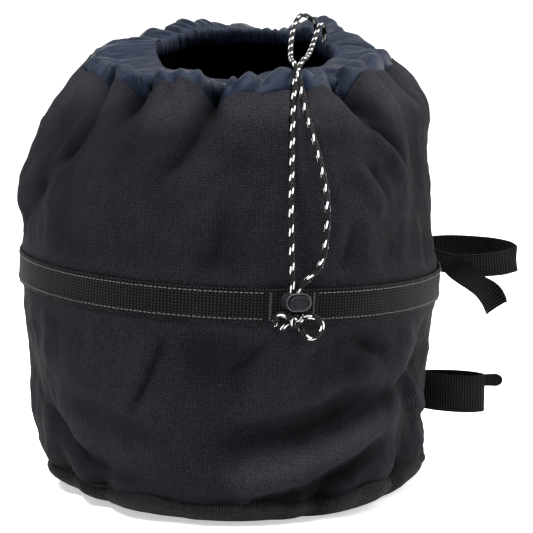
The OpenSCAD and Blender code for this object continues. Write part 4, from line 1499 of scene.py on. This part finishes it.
def root_bartack(strap):
    """Zigzag stitches through a loop's sewn root."""
    matrix = strap_matrix(strap, rolled=True)
    width = STRAPS[strap][2]
    out = turned(matrix, [(0.3, -0.95, 0)])[0]
    stretches = []
    for i in range(int((width - 4) / ROOT_STITCH_STEP)):
        z = -width / 2 + 2 + ROOT_STITCH_STEP * i
        ends = [(3.2, -3.3), (6.4, -4.3)]
        if i % 2:
            ends.reverse()
        start, end = placed(matrix, [ends[0] + (z,), ends[1] + (z + ROOT_STITCH_STEP,)])
        stretches.append((start, end, out))
    stitches(
        strap + "_root_stitches", stretches, 0.32, "grey_thread", strap + "_strap",
        strap + "_strap_bartack",
    )


strap_loop("upper", UPPER_ROUTE, UPPER_UPS)
strap_loop("lower", LOWER_ROUTE, [(0, 0, 1), (0, 0, 1)])
upper_tail()
lower_tongue()
root_bartack("upper")
root_bartack("lower")


# ---- cord lock ----
LOCK_TURN, LOCK_LEAN = 16.2, 3.8
LOCK_AT = (0, -181, 173)
LOCK_W, LOCK_H = 18.5, 12.5
LOCK_FRONT = 7.0
LOCK_WALL = 1.4
BUTTON_OUT = 3.0
FACE_INSET = 2 * LOCK_WALL + 1.9
LOCK_MATRIX = (
    Matrix.Rotation(math.radians(LOCK_TURN), 4, "Z")
    @ Matrix.Translation(Vector(LOCK_AT) * MM)
    @ Matrix.Rotation(math.radians(-LOCK_LEAN), 4, "X")
)
SPRING_COILS, SPRING_R, SPRING_WIRE_R = 2.5, 2.8, 0.3
SPRING_START, SPRING_END = 3.6, 6.6


def dress(node, slot, bevel):
    """Gives a CAD node that stays its material and softened edges."""
    piece = NODES[node]
    piece.data.materials.clear()
    piece.data.materials.append(MATERIALS[slot])
    if bevel:
        soften = soften_edges(piece, bevel)
        soften.limit_method = "ANGLE"
        soften.angle_limit = math.radians(40)
        soften.harden_normals = True


def spring_coil():
    """The spring behind the button, at its rest length."""
    length = SPRING_END - SPRING_START
    t = np.linspace(0, 1, 91)
    turns = 2 * math.pi * SPRING_COILS * t
    x, z = SPRING_R * np.cos(turns), SPRING_R * np.sin(turns)
    local = np.stack([x, SPRING_START + length * t, z], axis=1)
    piece = tube_object(
        "spring_coil", placed(LOCK_MATRIX, local), SPRING_WIRE_R * MM, "spring_steel", "cord_lock",
        "lock_spring", sides=10, relief=0,
    )
    travel = JOINTS["lock_button_press"]["range_m"][1] / MM
    keep = 1 - travel / (length + 2 * SPRING_WIRE_R)
    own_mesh(piece)


def oval_rim(name, inset, front, radius, slot, body):
    """A rounded rim along an oval with straight sides, on the lock's front."""
    corners = np.radians(np.linspace(0, 360, 16, endpoint=False))[:, None]
    side, depth = compass(even_turns(72)[None, :])
    half = (LOCK_W - LOCK_H) / 2
    reach = (LOCK_H - inset) / 2 + radius * np.cos(corners)
    x = np.where(side >= 0, half, -half) + reach * side
    y = -front - radius * np.sin(corners) + 0 * side
    local = np.stack([x, y, reach * depth], axis=2)
    points = placed(LOCK_MATRIX, local.reshape(-1, 3)).reshape(local.shape)
    grid_object(name, points, [slot], body, None, closed_columns=True)


# The lock's rim in the paler rim_plastic: a painted highlight round its front
oval_rim("lock_rim", LOCK_WALL, LOCK_FRONT + 0.2, 0.9, "rim_plastic", "cord_lock")
oval_rim("button_rim", FACE_INSET, LOCK_FRONT + BUTTON_OUT + 0.1, 0.72, "button_plastic", "lock_plunger")
dress("lock_barrel", "lock_plastic", 0.45)
dress("lock_button", "button_plastic", 0.7)
spring_coil()
dress("drawcord_channel_run", "cord_sheath", 0)


# ---- floor, lights and world ----
AIM = (0, 0, 0.2)
# For each light: its place, its width and height, its power
LIGHTS = {
    "key": ((-0.9, -1.2, 2.2), (0.7, 0.7), 84),
    "fill": ((1.8, -1.3, 0.8), (0.6, 1.0), 8.5),
    "side": ((-1.9, -0.7, 0.9), (0.5, 1.0), 4),
    "top": ((0.3, -0.1, 2.0), (1.0, 1.0), 52),
    "rim": ((1.7, 0.6, 0.9), (0.7, 1.2), 30),
}
FLOOR_REACH = 14
FLOOR_BACK = 2.2
FLOOR_BEND_R = 1.5
STUDIO_LIGHT = 0.16
BEYOND_FLOOR = 0.95


def stage_material():
    shader = Shader("pale_floor")
    colour = shader.mix(shader.noise(3, 2.0, 0.5), grey(0.93), grey(0.97))
    return shader.finish(colour, 0.85, Emission_Color=WHITE, Emission_Strength=0.5)


def make_stage():
    """A pale floor that curves up into a backdrop."""
    line = [(y, 0.0) for y in np.linspace(-FLOOR_REACH, FLOOR_BACK, 12)]
    for a in np.radians([15, 30, 45, 60, 75, 90]):
        line.append((FLOOR_BACK + FLOOR_BEND_R * math.sin(a), FLOOR_BEND_R - FLOOR_BEND_R * math.cos(a)))
    line.append((FLOOR_BACK + FLOOR_BEND_R, 3.5))
    mesh = bpy.data.meshes.new("floor")
    faces = [(2 * i, 2 * i + 1, 2 * i + 3, 2 * i + 2) for i in range(len(line) - 1)]
    mesh.from_pydata([(x, y, z) for y, z in line for x in (-FLOOR_REACH, FLOOR_REACH)], [], faces)
    mesh.materials.append(stage_material())
    mesh.polygons.foreach_set("use_smooth", [True] * len(faces))
    show("floor", mesh)


def make_lights():
    for name, (place, size, power) in LIGHTS.items():
        data = bpy.data.lights.new(name, "AREA")
        data.shape = "RECTANGLE"
        data.size, data.size_y = size
        data.energy = power
        light = show(name, data)
        light.location = place
        light.rotation_euler = (Vector(AIM) - Vector(place)).to_track_quat("-Z", "Y").to_euler()


def make_world():
    """A dim, even light on the object, and white for the camera beyond the floor's edge."""
    world = bpy.data.worlds.new("studio")
    world.use_nodes = True
    nodes, links = world.node_tree.nodes, world.node_tree.links
    chosen = nodes.new("ShaderNodeMixShader")
    links.new(nodes.new("ShaderNodeLightPath").outputs["Is Camera Ray"], chosen.inputs[0])
    backgrounds = nodes["Background"], nodes.new("ShaderNodeBackground")
    for socket, background, strength in zip((1, 2), backgrounds, (STUDIO_LIGHT, BEYOND_FLOOR)):
        background.inputs["Strength"].default_value = strength
        background.inputs["Color"].default_value = WHITE
        links.new(background.outputs[0], chosen.inputs[socket])
    links.new(chosen.outputs[0], nodes["World Output"].inputs["Surface"])
    bpy.context.scene.world = world


make_stage()
make_lights()
make_world()
bpy.context.scene.view_settings.view_transform = "Standard"
